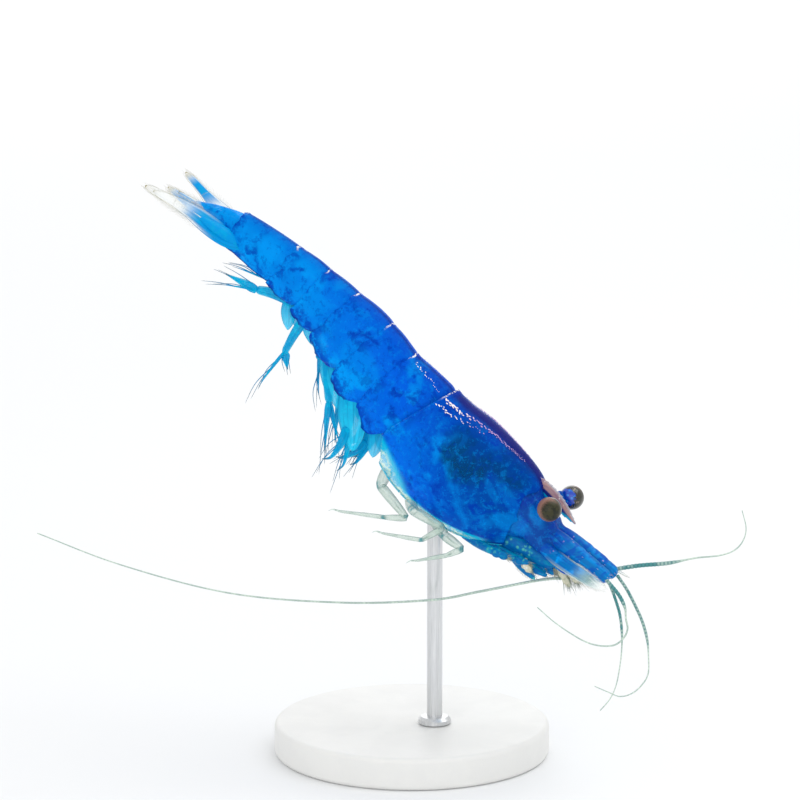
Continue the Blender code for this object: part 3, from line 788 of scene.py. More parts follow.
def shared(name, outputs, **inputs):
    """Make a node group of a function: its inputs are numbers or colours with these defaults.

    The group is built on first use, and each call places it with its own values.
    """
    def build(make):
        group = bpy.data.node_groups.new(name, "ShaderNodeTree")
        for socket, default in inputs.items():
            kind = "NodeSocketFloat" if isinstance(default, float) else "NodeSocketColor"
            made = group.interface.new_socket(name=socket.replace("_", " "), in_out="INPUT", socket_type=kind)
            made.default_value = default
        for socket, kind in outputs.items():
            group.interface.new_socket(name=socket, in_out="OUTPUT", socket_type=f"NodeSocket{kind}")
        given = put(group, "NodeGroupInput")
        results = make(group, *(Signal(given, index) for index in range(len(inputs))))
        put(group, "NodeGroupOutput", dict(enumerate(results)))
        return group

    def wrap(make):
        def place(tree, *values):
            group = bpy.data.node_groups.get(name) or build(make)
            node = put(tree, "ShaderNodeGroup", dict(enumerate(values)), node_tree=group)
            signals = [Signal(node, socket) for socket in outputs]
            return signals if len(signals) > 1 else signals[0]
        return place
    return wrap


@shared("Clouds", {"Mask": "Float"}, Size=1.0, Breakup=0.5, Low=0.4, High=0.6)
def clouds(tree, size, breakup, low, high):
    """Soft blotches of one size, broken up by smaller ones."""
    scale = 1.0 / size
    place = object_place(tree)
    fine = place.noise(scale * 3.7, 3.0, 0.6, 0.4)
    return [(place.noise(scale, 1.0, 0.4, 0.6) + (fine - 0.5) * breakup).ramp(low, high)]


@shared("Granules", {"Mask": "Float", "Height": "Float"}, Size=0.12, Share=0.35)
def granules(tree, size, share):
    """Fine beads: a mask of the few that catch the light, and a height for all of them."""
    inputs = {"Vector": object_place(tree), "Scale": 1.0 / size}
    beads = put(tree, "ShaderNodeTexVoronoi", inputs, feature="SMOOTH_F1")
    cell = put(tree, "ShaderNodeTexVoronoi", inputs)
    pick = Signal(put(tree, "ShaderNodeSeparateColor", {0: Signal(cell, "Color")}))
    mask = pick.maths("LESS_THAN", share) * Signal(cell, "Distance").ramp(0.2, 0.5, 1.0, 0.0)
    return [mask, Signal(beads, "Distance").ramp(0.1, 0.75, 1.0, 0.0)]


@shared("Satin", {"Roughness": "Float"}, Size=1.0, Low=0.2, High=0.4)
def satin(tree, size, low, high):
    """Roughness that drifts a little between two values, as handled or dried surfaces do."""
    return [object_place(tree).noise(1.0 / size, 4.0, 0.6).ramp(0.3, 0.7, low, high)]


@shared("Streaks", {"Mask": "Float"}, Across=0.0, Along=0.0, Count=8.0, Length=1.5, Low=0.4, High=0.65)
def streaks(tree, across, along, count, length, low, high):
    """Streaks that run along a blade or limb and waver from side to side."""
    place = Signal(put(tree, "ShaderNodeCombineXYZ", {0: across * count, 1: along * length}))
    return [place.noise(1.0, 2.0, 0.5, 0.3).ramp(low, high)]


@shared(
    "Body Blue", {"Color": "Color"}, Tail=PLAIN_BLUE, Waist=PLAIN_BLUE, Head=PLAIN_BLUE, Light=PLAIN_BLUE,
    Dark=PLAIN_BLUE, Tail_End=-10.0, Waist_Place=0.0, Head_End=4.5,
)
def trunk_blue(tree, tail, waist, head, light, dark, tail_end, waist_place, head_end):
    """The animal's own blue: azure at the tail, deep at the head, with light patches and dark smears."""
    east, _ = side_view(object_place(tree))
    ahead = east.ramp(waist_place, head_end)
    return [layers(
        tail, (east.ramp(tail_end, waist_place, kind="LINEAR"), waist), (ahead, head),
        (clouds(tree, 1.5, 0.4, 0.5, 0.72) * ahead.mix(0.85, 0.3), light),
        (clouds(tree, 0.9, 0.65, 0.54, 0.74) * 0.8, dark),
    )]


@shared("Spot", {"Mask": "Float"}, X=0.0, Z=0.0, Long=1.0, Wide=1.0, Turn=0.0, Ragged=0.5)
def spot(tree, x, z, long, wide, turn, ragged):
    """Oval spot with a soft, ragged edge at a place in the body, seen from the side."""
    place = object_place(tree)
    east, rise = side_view(place)
    east, rise, turn = east - x, rise - z, turn.maths("RADIANS")
    cosine, sine = turn.maths("COSINE"), turn.maths("SINE")
    length = ((east * cosine - rise * sine) / long).maths("ABSOLUTE").maths("POWER", 2.0)
    height = ((east * sine + rise * cosine) / wide).maths("ABSOLUTE").maths("POWER", 2.0)
    reach = (length + height).maths("SQRT") + (place.noise(1.3, 3.0) - 0.5) * ragged
    return [reach.ramp(0.65, 1.15, 1.0, 0.0)]


@shared("Fibres", {"Mask": "Float"}, Turn=60.0, Size=0.5, Low=0.4, High=0.6)
def fibres(tree, turn, size, low, high):
    """Soft strands that run one way along the body's side."""
    inputs = {"Vector": object_place(tree), "Angle": turn.maths("RADIANS")}
    place = Signal(put(tree, "ShaderNodeVectorRotate", inputs, rotation_type="Y_AXIS"))
    return [place.stretched((0.28, 1.0, 1.0)).noise(1.0 / size, 2.0, 0.5, 0.5).ramp(low, high)]


# Finishes: each one's function gives the values that feed its shader

FINISHES = {}


def finish(name, **constants):
    """Keep a finish under its name, with the constants of its shader's own sockets."""
    def keep(look):
        FINISHES[name] = (look, constants)
        return look
    return keep


def make_finish(name, colours):
    look, constants = FINISHES[name]
    material = bpy.data.materials.new(name)
    material.use_nodes = True
    tree = material.node_tree
    shader = tree.nodes["Principled BSDF"]
    for socket, value in constants.items():
        shader.inputs[socket.replace("_", " ")].default_value = value
    for socket, signal in look(tree, colours).items():
        tree.links.new(signal.socket, shader.inputs[socket])
    return material


def finishes(colours, *names):
    """The materials of those names, each made on first use."""
    return [bpy.data.materials.get(name) or make_finish(name, colours) for name in names]


def picked(colours, names):
    return [getattr(colours, name) for name in names.split()]


def body_blue(tree, colours):
    """The shared blue with its light patches and the dark organs that show through the carapace."""
    base = trunk_blue(tree, *picked(colours, "tail_blue waist_blue head_blue light_blue dark_blue"))
    for *oval, strength in LIGHT_PATCHES:
        base = layers(base, (spot(tree, *oval, 1.3) * strength, colours.light_blue))
    strands = fibres(tree, 70.0, 0.42, 0.35, 0.65).ramp(0.0, 1.0, 0.55, 0.92)
    for oval in ORGANS:
        base = layers(base, (spot(tree, *oval, 0.8) * strands, colours.organ_teal))
    return layers(
        base, (clouds(tree, 0.24, 1.0, 0.52, 0.8) * 0.35, colours.light_blue),
        (clouds(tree, 0.33, 1.0, 0.56, 0.78) * 0.4, colours.dark_blue),
    )


@finish(
    "mottled blue flesh", Subsurface_Weight=0.3, Subsurface_Scale=0.35 * MM,
    Subsurface_Radius=(0.2, 0.6, 1.0), IOR=1.2,
)
def flesh_look(tree, colours):
    """Mottled blue muscle, soft and satin."""
    return {
        "Base Color": body_blue(tree, colours), "Roughness": satin(tree, 0.5, 0.35, 0.55),
        "Normal": clouds(tree, 0.16, 0.7, 0.3, 0.7).bump(0.3, 0.03),
    }


# The shell's own colour glows faintly through Emission: painted light standing in for light passing through
# it
@finish("clear blue shell", IOR=1.12, Specular_IOR_Level=0.3, Emission_Strength=0.14)
def shell_look(tree, colours):
    """Clear blue over the flesh, with a dark ridge under a painted violet sheen, pale joint ticks, dark side
    flaps and fine grain, all glowing faintly as painted light.
    """
    rim, crest, flap, clear = read_marks(tree, "rim crest flap clear")
    _, beads = granules(tree, 0.1, 0.45)
    ridge = crest.ramp(0.86, 0.97)
    smear = clouds(tree, 0.6, 0.8, 0.42, 0.62)
    tick = rim.ramp(0.955, 0.975) * crest.ramp(0.76, 0.88) * clouds(tree, 0.2, 1.0, 0.44, 0.56) * 0.9
    glass = clouds(tree, 0.42, 0.9, 0.4, 0.6).blend(colours.cyan, colours.shell_clear)
    base = layers(
        body_blue(tree, colours), (crest.ramp(0.5, 0.9, 0.0, 0.45), colours.dark_blue),
        # Violet strip on the ridge: a painted sheen over a darker ridge
        (ridge * 0.85, colours.ridge_sheen_violet), (rim.ramp(0.72, 0.97) * smear * 0.62, colours.dark_blue),
        (flap.ramp(0.55, 1.0) * smear * 0.8, colours.dark_blue),
        (crest.ramp(0.05, 0.01) * 0.7, colours.edge_navy), (tick, colours.bead_pale),
        (clear.ramp(0.0, 0.4), colours.cyan), (clear.ramp(0.35, 0.95), glass),
    )
    opacity = flap.ramp(0.0, 0.8, 0.8, 0.95).top(ridge * 0.95)
    return {
        "Base Color": base, "Alpha": clear.mix(opacity, 0.42).top(tick),
        "Roughness": satin(tree, 0.8, 0.28, 0.45), "Emission Color": base, "Normal": beads.bump(0.2, 0.02),
    }


# The beads glow faintly in their own colour, which is painted light. Their pale and pink shades are painted
# highlights of the back.
@finish("pale beads", IOR=1.3, Emission_Strength=0.15)
def highlight_bead_look(tree, colours):
    """Pale raised beads, cream at the back and pink towards the head: real granules painted as highlights,
    with a faint painted glow.
    """
    east, _ = side_view(object_place(tree))
    pink = (clouds(tree, 0.4, 0.6, 0.38, 0.62) * 0.25).top(east.ramp(2.4, 3.8))
    base = pink.blend(colours.bead_pale, colours.bead_pink)
    return {"Base Color": base, "Roughness": satin(tree, 0.2, 0.3, 0.5), "Emission Color": base}


@finish("pink rostrum", IOR=1.35, Roughness=0.3)
def rostrum_look(tree, colours):
    """Pinkish blade with a navy lower stripe, a cyan tip and clear pale teeth."""
    across, along = read_marks(tree, "across along")
    grain = streaks(tree, across, along, 3.0, 6.0, 0.35, 0.7)
    cream, _ = granules(tree, 0.1, 0.35)
    stripe = across.ramp(-0.15, 0.15) * along.ramp(0.3, 0.45)
    comb = across.ramp(-0.72, -0.9) * along.ramp(0.35, 0.5)
    base = layers(
        colours.rostrum_pink, (grain * 0.8, colours.rostrum_mauve),
        # Pale flecks on the granules that catch the light, on the upper side: painted glints
        (cream * across.ramp(-0.35, -0.65), colours.bead_pale),
        (along.ramp(0.26, 0.42, 1.0, 0.0), colours.head_blue), (stripe, colours.edge_navy),
        (stripe * across.ramp(0.45, 0.65), colours.cyan),
        (across.ramp(0.0, 0.35) * along.ramp(0.78, 0.9), colours.cyan), (comb, TOOTH_GREY),
    )
    return {"Base Color": base, "Alpha": comb.mix(0.95, 0.55), "Normal": grain.bump(0.2, 0.02)}


@finish("olive cornea", IOR=1.35, Coat_Roughness=0.06)
def cornea_look(tree, colours):
    """Olive-black compound eye of fine facets: brownish pink halo outside, gold and blue glints inside."""
    halo, glint, inner = read_marks(tree, "halo glint inner")
    place = object_place(tree)
    facets = place.then("ShaderNodeTexVoronoi", {"Vector": place, "Scale": 1 / FACET_SIZE}, "Distance")
    drift = clouds(tree, 0.3, 0.8, 0.38, 0.62)
    gold, _ = granules(tree, 0.09, 0.6)
    sheen, _ = granules(tree, 0.16, 0.5)
    belt = glint.ramp(0.24, 0.4) * inner * gold * drift.ramp(0.0, 1.0, 0.5, 1.0)
    ragged = glint + (drift - 0.5) * 0.14
    base = layers(
        colours.cornea, (drift * 0.6, colours.cornea_olive), (inner * 0.85, colours.cornea),
        (belt, colours.eye_gold),
        (inner * ragged.ramp(0.62, 0.74), (sheen * 0.7).blend(colours.eye_blue, colours.light_blue)),
        ((halo + (facets - 0.4) * 0.35).ramp(0.15, 0.85), colours.eye_rim),
    )
    return {
        "Base Color": base, "Roughness": inner.mix(0.45, 0.15), "Coat Weight": inner.mix(0.15, 0.9),
        "Normal": facets.bump(0.12, 0.01),
    }


def fin_look(shades, core_opacity, margin_opacity, tip_start):
    """Clear blade; the shades are those of core, light blots, margin, rays, outline and tip."""
    def look(tree, colours):
        core, light, margin, ray, outline, tip = picked(colours, shades)
        edge, across, along, solid = read_marks(tree, "edge across along core")
        rays = streaks(tree, across, along, 6.0, 1.6, 0.46, 0.7)
        outer = (edge.ramp(0.6, 0.92) * along.ramp(0.25, 0.55)).top(1.0 - solid)
        line = edge.ramp(0.92, 0.97) * 0.8
        drawn = along.ramp(tip_start - 0.4, tip_start - 0.15).blend(outline, tip)
        base = layers(
            core, (clouds(tree, 0.45, 0.6, 0.45, 0.7) * 0.7, light), (outer, margin), (rays * 0.55, ray),
            (line, along.ramp(0.25, 0.45).blend(core, drawn)), (along.ramp(tip_start, 1.0), tip),
        )
        return {
            "Base Color": base, "Roughness": satin(tree, 0.4, 0.25, 0.42), "Emission Color": base,
            "Alpha": outer.mix(core_opacity, margin_opacity).top(line).top(rays * solid * 0.7),
            "Normal": rays.bump(0.3, 0.02),
        }
    return look


def limb_look(shades, least_opacity):
    """Jointed leg with faint streaks; the shades are those of segments, joints, streaks and flecks, and the
    flecks are painted glints on the granules that catch the light.
    """
    def look(tree, colours):
        segment, knuckle, streak, fleck = picked(colours, shades)
        joint, along, edge = read_marks(tree, "joint along edge")
        veins = streaks(tree, edge, along, 3.0, 9.0, 0.46, 0.68)
        knots = joint * clouds(tree, 0.5, 0.6, 0.35, 0.6)
        glint_grains, _ = granules(tree, 0.2, 0.7)
        _, grains = granules(tree, 0.06, 0.3)
        outline = edge.ramp(0.72, 0.98, 0.0, 0.65)
        base = layers(
            # Flecks on the granules that catch the light: painted glints
            segment, (veins * 0.6, streak), (glint_grains * clouds(tree, 0.6, 0.5, 0.5, 0.62) * 0.75, fleck),
            (outline, streak), (knots * 0.85, knuckle),
        )
        return {
            "Base Color": base, "Roughness": satin(tree, 0.3, 0.22, 0.4), "Emission Color": base,
            "Alpha": (knots * 0.9).top(veins * 0.9).top(outline).top(least_opacity),
            "Normal": grains.bump(0.15, 0.01),
        }
    return look


def bristle_look(shades, tip_opacity):
    """Hairs that pale or darken from the root's shade to the tip's."""
    def look(tree, colours):
        [along] = read_marks(tree, "along")
        share = along.ramp(0.25, 0.95, 0.0, 0.85) + clouds(tree, 0.3, 0.4, 0.35, 0.65) * 0.15
        return {"Base Color": share.blend(*picked(colours, shades)), "Alpha": along.mix(0.95, tip_opacity)}
    return look


# These clear blades glow faintly in their own colours: painted light standing in for light passing through
# them
for name, shades, *rest in (
    ("clear tail fin", "fin_blue paddle_blue clear_pale edge_teal edge_teal fin_straw", 0.97, 0.14, 0.9),
    ("clear paddle", "paddle_blue cyan cyan_pale edge_teal edge_teal tip_grey", 0.88, 0.62, 0.72),
    (
        "clear feeler scale", "peduncle_blue light_blue scale_pale dark_blue scale_line clear_pale",
        0.97, 0.3, 0.8,
    ),
):
    finish(name, IOR=1.15, Emission_Strength=0.15)(fin_look(shades, *rest))
# These limbs glow faintly in their own colours: painted light standing in for light passing through them
for name, shades, opacity in (
    ("clear limb", "limb_clear limb_joint limb_streak limb_clear", 0.48),
    ("blue limb", "limb_blue limb_teal limb_teal limb_green", 0.95),
    ("beige mouthpart", "mouth_beige limb_streak mouth_olive clear_pale", 0.85),
):
    finish(name, IOR=1.2, Emission_Strength=0.1)(limb_look(shades, opacity))
for name, shades, opacity in (
    ("pale bristle", "clear_pale bristle_cream", 0.3), ("cyan bristle", "paddle_blue tip_grey", 0.55),
    ("beige bristle", "mouth_beige limb_streak", 0.7),
):
    finish(name, IOR=1.25, Roughness=0.4)(bristle_look(shades, opacity))


# The feeler base glows faintly in its own colour: painted light standing in for light passing through it
@finish("blue feeler base", IOR=1.2, Emission_Strength=0.12)
def feeler_base_look(tree, colours):
    """Blue feeler base streaked lengthwise, with a few pale and pink flecks on top that are painted glints.
    """
    joint, along, edge = read_marks(tree, "joint along edge")
    light = streaks(tree, edge, along, 2.6, 2.2, 0.42, 0.68) * 0.45
    flecks, beads = granules(tree, 0.13, 0.3)
    base = layers(
        body_blue(tree, colours),
        (along.ramp(0.22, 0.55), light.blend(colours.peduncle_blue, colours.light_blue)),
        (fibres(tree, 34.0, 0.26, 0.46, 0.62) * 0.6, colours.dark_blue),
        # Pink flecks on the granules that catch the light: painted glints
        (flecks * clouds(tree, 0.7, 0.3, 0.56, 0.64), colours.bead_pink), (joint * 0.35, colours.dark_blue),
    )
    return {
        "Base Color": base, "Roughness": satin(tree, 0.4, 0.3, 0.45), "Emission Color": base,
        "Normal": beads.bump(0.15, 0.015),
    }


@finish("ringed feeler", IOR=1.3)
def feeler_look(tree, colours):
    """Pale greenish thread of rings, dark teal in the grooves near its root."""
    groove, thick = read_marks(tree, "groove thick")
    drift = clouds(tree, 0.6, 0.6, 0.35, 0.65)
    base = layers(
        colours.feeler_pale, (drift * 0.28, colours.feeler_dark),
        (thick * drift.ramp(0.0, 1.0, 0.45, 0.9), colours.feeler_root),
        (groove * thick.ramp(0.0, 1.0, 0.35, 0.95), colours.feeler_dark),
    )
    return {"Base Color": base, "Roughness": satin(tree, 0.3, 0.3, 0.5)}


@finish("cyan margin", IOR=1.3)
def margin_look(tree, colours):
    """Bright cyan bead along the carapace's margin, broken by pale and green stretches."""
    glint, _ = granules(tree, 0.16, 0.3)
    drift = clouds(tree, 0.5, 0.8, 0.4, 0.65) * 0.6
    base = layers(colours.cyan, (drift, colours.shell_clear), (glint, colours.clear_pale))
    return {"Base Color": base, "Roughness": satin(tree, 0.3, 0.2, 0.4)}


@finish("satin white base")
def base_look(tree, colours):
    """Satin off-white disc, faintly mottled."""
    drift = clouds(tree, 2.5, 0.8, 0.35, 0.7) * 0.3
    return {
        "Base Color": drift.blend(colours.base_white, BASE_MOTTLE), "Roughness": satin(tree, 1.5, 0.38, 0.5),
        "Normal": clouds(tree, 0.12, 0.9, 0.3, 0.7).bump(0.15, 0.01),
    }


@finish("drawn steel", Metallic=1.0)
def rod_look(tree, colours):
    """Steel drawn lengthwise: streaks run up the rod."""
    lines = object_place(tree).stretched((9.0, 9.0, 0.35)).noise(2.0, 3.0, 0.6)
    return {
        "Base Color": lines.ramp(0.2, 0.8).blend(colours.rod_steel, STEEL_STREAK),
        "Roughness": lines.ramp(0.3, 0.7, 0.28, 0.4), "Normal": lines.bump(0.1, 0.01),
    }


@finish("pale floor", Roughness=0.85)
def floor_look(tree, colours):
    """Plain pale floor, barely clouded."""
    drift = clouds(tree, 60.0, 0.5, 0.3, 0.7) * 0.2
    return {"Base Color": drift.blend(colours.floor_pale, FLOOR_CLOUD)}


# Pieces of the animal

def flesh_inset(where, depth):
    """How deep the flesh lies under the trunk's outside: less towards the bare head."""
    if where < FRONT_END:
        return HEAD_INSET + (depth - HEAD_INSET) * ramp(FRONT_END - where, 0.0, 1.6)
    return HEAD_INSET * ramp(HEAD_END - where, 0.0, 2.0)


def build_flesh(sizes, colours):
    """One soft body under the shells, from the tail's root to the head's front, with the eyestalks."""
    def place(across, along):
        where = blend(TAIL_END + 0.02, HEAD_END, along)
        centre, pitch, rise, drop, width = trunk_station(where)
        inset = flesh_inset(where, sizes.shell_depth / MM)
        angle = FULL_TURN * across
        out, height = math.sin(angle), math.cos(angle)
        if height < 0:
            out = math.copysign(abs(out) ** 0.8, out)
            height = -abs(height) ** 0.8
        close = min(1.0, along / FLESH_CAPS[0], (1 - along) / FLESH_CAPS[1]) ** 0.5
        out *= (width - inset) * close
        height *= (rise - inset if height >= 0 else drop * BELLY_SHARE) * close
        return centre + upward(pitch) * height + Vector((0.0, out, 0.0))

    shape = close_seams(sheet(48, 150, place, bmesh.new()))
    for side in SIDES.values():
        stalk = Path(all_on_side(EYESTALK, side))
        tube(shape, 20, 14, stalk, lambda along: blend(0.36, 0.46, along) * round_ends(along, 0.05, 0.15))
        for thick, thin, points in FRONT_SWELLS:
            tube(
                shape, 24, 30, Path(all_on_side(points, side)),
                lambda along: blend(thick, thin, along ** 1.5) * round_ends(along, 0.1, 0.1),
            )
    flesh = add_piece(
        "flesh", close_seams(shape), finishes(colours, "mottled blue flesh"),
        ["head_block", "eyestalk_left", "eyestalk_right"],
    )
    finish_with(flesh, "REMESH", mode="VOXEL", voxel_size=sizes.flesh_grid, use_smooth_shade=True)
    finish_with(flesh, "SMOOTH", factor=0.5, iterations=4)


def from_ridge(across):
    """How far round a shell a place lies: 0 on the back's ridge, 1 at either lower margin."""
    return abs(across * 2 - 1)


def add_shell(name, node, columns, rows, place, rear_at, stretch, crest_share, clear, sizes, colours):
    """Shell and the marks its finish reads: rim at the rear, crest on the back, flap low at the sides."""
    shape = sheet(
        columns, rows, place, bmesh.new(),
        rim=lambda across, along: max(0.0, 1 - abs(along - rear_at) * stretch),
        crest=lambda across, along: (1 - from_ridge(across)) * crest_share,
        flap=lambda across, along: ramp(from_ridge(across), 0.55, 1.0), clear=clear,
    )
    bmesh.ops.recalc_face_normals(shape, faces=shape.faces)
    piece = add_piece(name, shape, finishes(colours, "clear blue shell"), [node])
    finish_with(piece, "SOLIDIFY", thickness=sizes.shell_wall, offset=-1.0)


def carapace_place(across, along):
    """Point of the carapace: across runs from margin to margin over the back, along from rear to front."""
    out = from_ridge(across)
    low = ramp(out, 0.62, 1.0)
    rear = 0.02 + 0.55 * low ** 3
    orbit, spine = hump(out, 0.36, 0.1), hump(out, 0.6, 0.035)
    front = FRONT_END + 0.42 - 0.3 * ramp(out, 0.1, 0.45) - 0.22 * orbit + 0.26 * spine - 0.05 * low
    flare = 0.05 * ramp(1 - along, 0.94, 1.0)
    return trunk_point(blend(rear, front, along), across * 2 - 1, flare, blend(1.0, 1.02, low), CARAPACE_TUCK)


def carapace_clear(across, along):
    """How clear the carapace is: glassy at its rear lower corner and along its lower margin."""
    corner = ramp(from_ridge(across), 0.78, 0.96) * (1 - ramp(along, 0.06, 0.3))
    return max(corner, ramp(from_ridge(across), 0.93, 0.975) * (1 - ramp(along, 0.5, 0.92)))


def build_carapace(sizes, colours):
    """Carapace shell with its margin bead, back beads painted pale as highlights, and toothed rostrum."""
    marks = (0.0, 4.0, 1.0, carapace_clear)
    add_shell("carapace_shell", "carapace", 96, 140, carapace_place, *marks, sizes, colours)

    shape = bmesh.new()
    for across in (0.0, 1.0):
        edge = Path([carapace_place(across, step / 30) + DOWNWARD * 0.01 for step in range(31)])
        tube(shape, 8, 150, edge, rounded(0.05, 0.02, 0.02))
    rear = Path([carapace_place(0.5 + step / 40, 0.004) for step in range(-19, 20)])
    tube(shape, 8, 200, rear, rounded(0.022, 0.02, 0.02))
    add_piece("carapace_margin", close_seams(shape), finishes(colours, "cyan margin"))

    # Beads: real granules whose pale colour is a painted highlight
    shape = bmesh.new()
    draw = random.Random(BEAD_SEED)
    for start, end, size, count in HIGHLIGHT_BEAD_ROWS:
        for number in range(count):
            share = (number + draw.uniform(-0.3, 0.3)) / (count - 1)
            where, around = blend(start[0], end[0], share), blend(start[1], end[1], share)
            reach = size * draw.uniform(0.35, 0.7) * (1 - 0.45 * share)
            _, pitch, *_ = trunk_station(where)
            for side in SIDES.values():
                turn = around * side + draw.uniform(-0.016, 0.016)
                centre = trunk_point(where, turn, BEAD_LIFT, 1.0, CARAPACE_TUCK)
                aim = heading(pitch + draw.uniform(-35, 35)).to_track_quat("X", "Z").to_matrix().to_4x4()
                matrix = Matrix.Translation(centre * MM) @ aim @ Matrix.Diagonal(BEAD_SHAPE)
                bmesh.ops.create_icosphere(shape, subdivisions=1, radius=reach * 0.6 * MM, matrix=matrix)
    add_piece("back_beads", shape, finishes(colours, "pale beads"))
    build_rostrum(sizes, colours)


def build_rostrum(sizes, colours):
    """Thin blade with a saw of teeth above and another below."""
    path = Path(ROSTRUM)
    thickness = sizes.rostrum_thickness / MM

    def tooth(along, count, start):
        """Height of a forward-pointing saw of that many teeth from start to near the tip."""
        phase = (along - start) / (TEETH_END - start) * count
        return TOOTH_DEPTH * (phase % 1.0) ** 1.5 if 0 <= phase < count else 0.0

    def place(across, along):
        centre, direction = path.at(along)
        down = direction.cross(LEFTWARD).normalized()
        down = down if down.z < 0 else -down
        angle = FULL_TURN * across
        out, side = math.cos(angle), math.sin(angle)
        reach = spread(ROSTRUM_DEPTHS, along) * round_ends(along, 0.01, 0.02)
        reach += tooth(along, *(UPPER_TEETH if out < 0 else LOWER_TEETH)) * abs(out) ** 6
        wide = thickness / 2 * (1 - 0.35 * along) * math.copysign(abs(side) ** 0.7, side)
        return centre + down * reach * out + LEFTWARD * wide * round_ends(along, 0.02, 0.03)

    shape = sheet(32, 300, place, bmesh.new(), across=crosswise, along=lengthwise)
    add_piece("rostrum", close_seams(shape), finishes(colours, "pink rostrum"))


def build_abdomen(sizes, colours):
    """Six overlapping shells with rounded side flaps."""
    for index, (fall, lobe, lean, swell) in enumerate(SOMITES):
        def place(across, along):
            around = across * 2 - 1
            low = max(0.0, abs(around) - 0.68) / 0.32
            half = 0.5 * (1 - lobe * (1 - math.sqrt(max(0.0, 1 - low ** 2.4))))
            middle = 0.5 + lean * low ** 2
            start, end = middle - half - 0.1 * (1 - low), middle + half + 0.07 + 0.05 * low
            end += 0.02 * math.sin(17 * around + 2 * index) + 0.012 * math.sin(41 * around + index)
            lift = -0.09 + 0.1 * ramp(along, 0.0, 0.22) + swell * math.sin(math.pi * along)
            lift += 0.03 * ramp(along, 0.9, 1.0)
            ragged = 1 + 0.03 * low * math.sin(9 * along + 2.3 * index)
            ragged += 0.008 * low * math.sin(27 * along + index)
            return trunk_point(-index - blend(start, end, along), around, lift, fall * ragged, SOMITE_TUCK)

        name = f"abdomen_{index + 1}"
        add_shell(f"{name}_shell", name, 72, 30, place, 1.0, 1.0, 0.93, always(0.0), sizes, colours)


def build_tail_fan(sizes, colours):
    """Telson and four uropods, with their fringes of hairs."""
    fin = finishes(colours, "clear tail fin", "pale bristle")
    draw = random.Random(FIN_SEED)
    shape = shape_telson(draw, *thin_sizes(sizes))
    add_piece("telson_blade", close_seams(shape), [*fin, *finishes(colours, "clear blue shell")], ["telson"])
    for side_name in SIDES:
        for name in UROPODS:
            node = f"uropod_{side_name}_{name}"
            shape = shape_uropod(side_name, name, draw, *thin_sizes(sizes))
            add_piece(f"{node}_blade", close_seams(shape), fin, [node])


def shape_telson(draw, leaf, hair):
    """Middle blade of the fan on the tail's root, with its spines and end hairs."""
    backward, flat = -heading(TELSON_PITCH), upward(TELSON_PITCH)
    root = STATIONS[0][0] + flat * TELSON_ROOT_LIFT - backward * TELSON_OVERLAP
    tip = root + backward * (TELSON_LENGTH + TELSON_OVERLAP)
    telson = Blade(bowed(root, tip, flat * 0.05), outlined(1.0, TELSON_OUTLINE, 0.04, 0.05), flat, 0.35)
    shape = bmesh.new()
    telson.build(
        shape, 32, 90, lambda along: leaf * 1.2 + 0.4 * (1 - ramp(along, 0.0, 0.55)),
        lambda along: 1 - ramp(along, 0.6, 0.8),
    )
    tube(
        shape, 32, 40, Path(TAIL_ROOT), outlined(1.0, TAIL_ROOT_HEIGHTS, 0.04, 0.12),
        flat=TAIL_ROOT_WIDTH, material=2, crest=always(0.4),
    )
    telson.fringe(shape, draw, (-1, 1), (0.92, 0.995), 5, 0.36, 0.88, hair * 1.5)
    for along in TELSON_SPINES:
        for side in (-1, 1):
            bristle(shape, telson.point(along, side * 0.85, 0.02), backward, 0.16, hair * 2.4)
    return shape


def shape_uropod(side_name, name, draw, leaf, hair):
    """Side blade of the fan, fringed along its free margins."""
    root, width, length, pitch, splay, lifts, outline = UROPODS[name]
    side, core = SIDES[side_name], UROPOD_CORES[side_name, name]
    backward = on_side(-heading(pitch, -splay), side)
    flat = (upward(pitch) - Vector((0.0, UROPOD_TILT, 0.0))).normalized()
    root = on_side(root, side)
    places = zip((0.0, length * 0.5, length), lifts if side_name == "right" else (0.0, 0.0, 0.0))
    points = [root + backward * reach + flat * lift for reach, lift in places]
    path = Path([points[0] - backward * 0.75 - Vector((0.0, root.y * 0.6, -0.15)), *points])
    blade = Blade(path, outlined(width / 2, outline, 0.05, 0.09), flat, 0.1)
    shape = bmesh.new()
    blade.build(
        shape, 32, 80, lambda along: blend(leaf * 2.2, leaf * 0.8, along), lambda along: spread(core, along))
    spans = ((-1, 1), (0.5, 0.995)) if name == "inner" else ((side,), (0.42, 0.995))
    blade.fringe(shape, draw, *spans, 60, 0.4, 0.62, hair * 0.8)
    blade.fringe(shape, draw, (-1, 1), (0.86, 0.995), 14, 0.36, 0.8, hair * 0.8)
    if name == "outer":
        shape_outer_uropod_root(shape, blade, root, backward, flat, side, leaf, hair)
    return shape


def shape_outer_uropod_root(shape, blade, root, backward, flat, side, leaf, hair):
    """Vein and thick stem of an outer uropod, and the row of spines across it."""
    vein = Path([blade.point(0.12 + 0.07 * step, 0.0, leaf * 0.9) for step in range(7)])
    tube(
        shape, 6, 30, vein, rounded(0.022, 0.1, 0.3), material=1, along=lambda across, along: 0.2 * along,
        edge=always(1.0),
    )
    stem = Path((
        root - backward * 0.95 - Vector((0.0, root.y * 0.75, 0.0)), root + backward * 0.5 + flat * 0.34,
        root + backward * 1.7 + flat * 0.34,
    ))
    tube(
        shape, 20, 24, stem, lambda along: 0.46 * (1 - 0.8 * along ** 1.6) * round_ends(along, 0.2, 0.2),
        flat, 0.7, along=always(0.2), edge=always(0.3), core=always(1.0),
    )
    for step in range(UROPOD_SPINES):
        start = blade.point(0.7, -side * (0.95 - 0.22 * step), leaf * 0.7)
        bristle(shape, start, backward, 0.1, hair * 2.0)


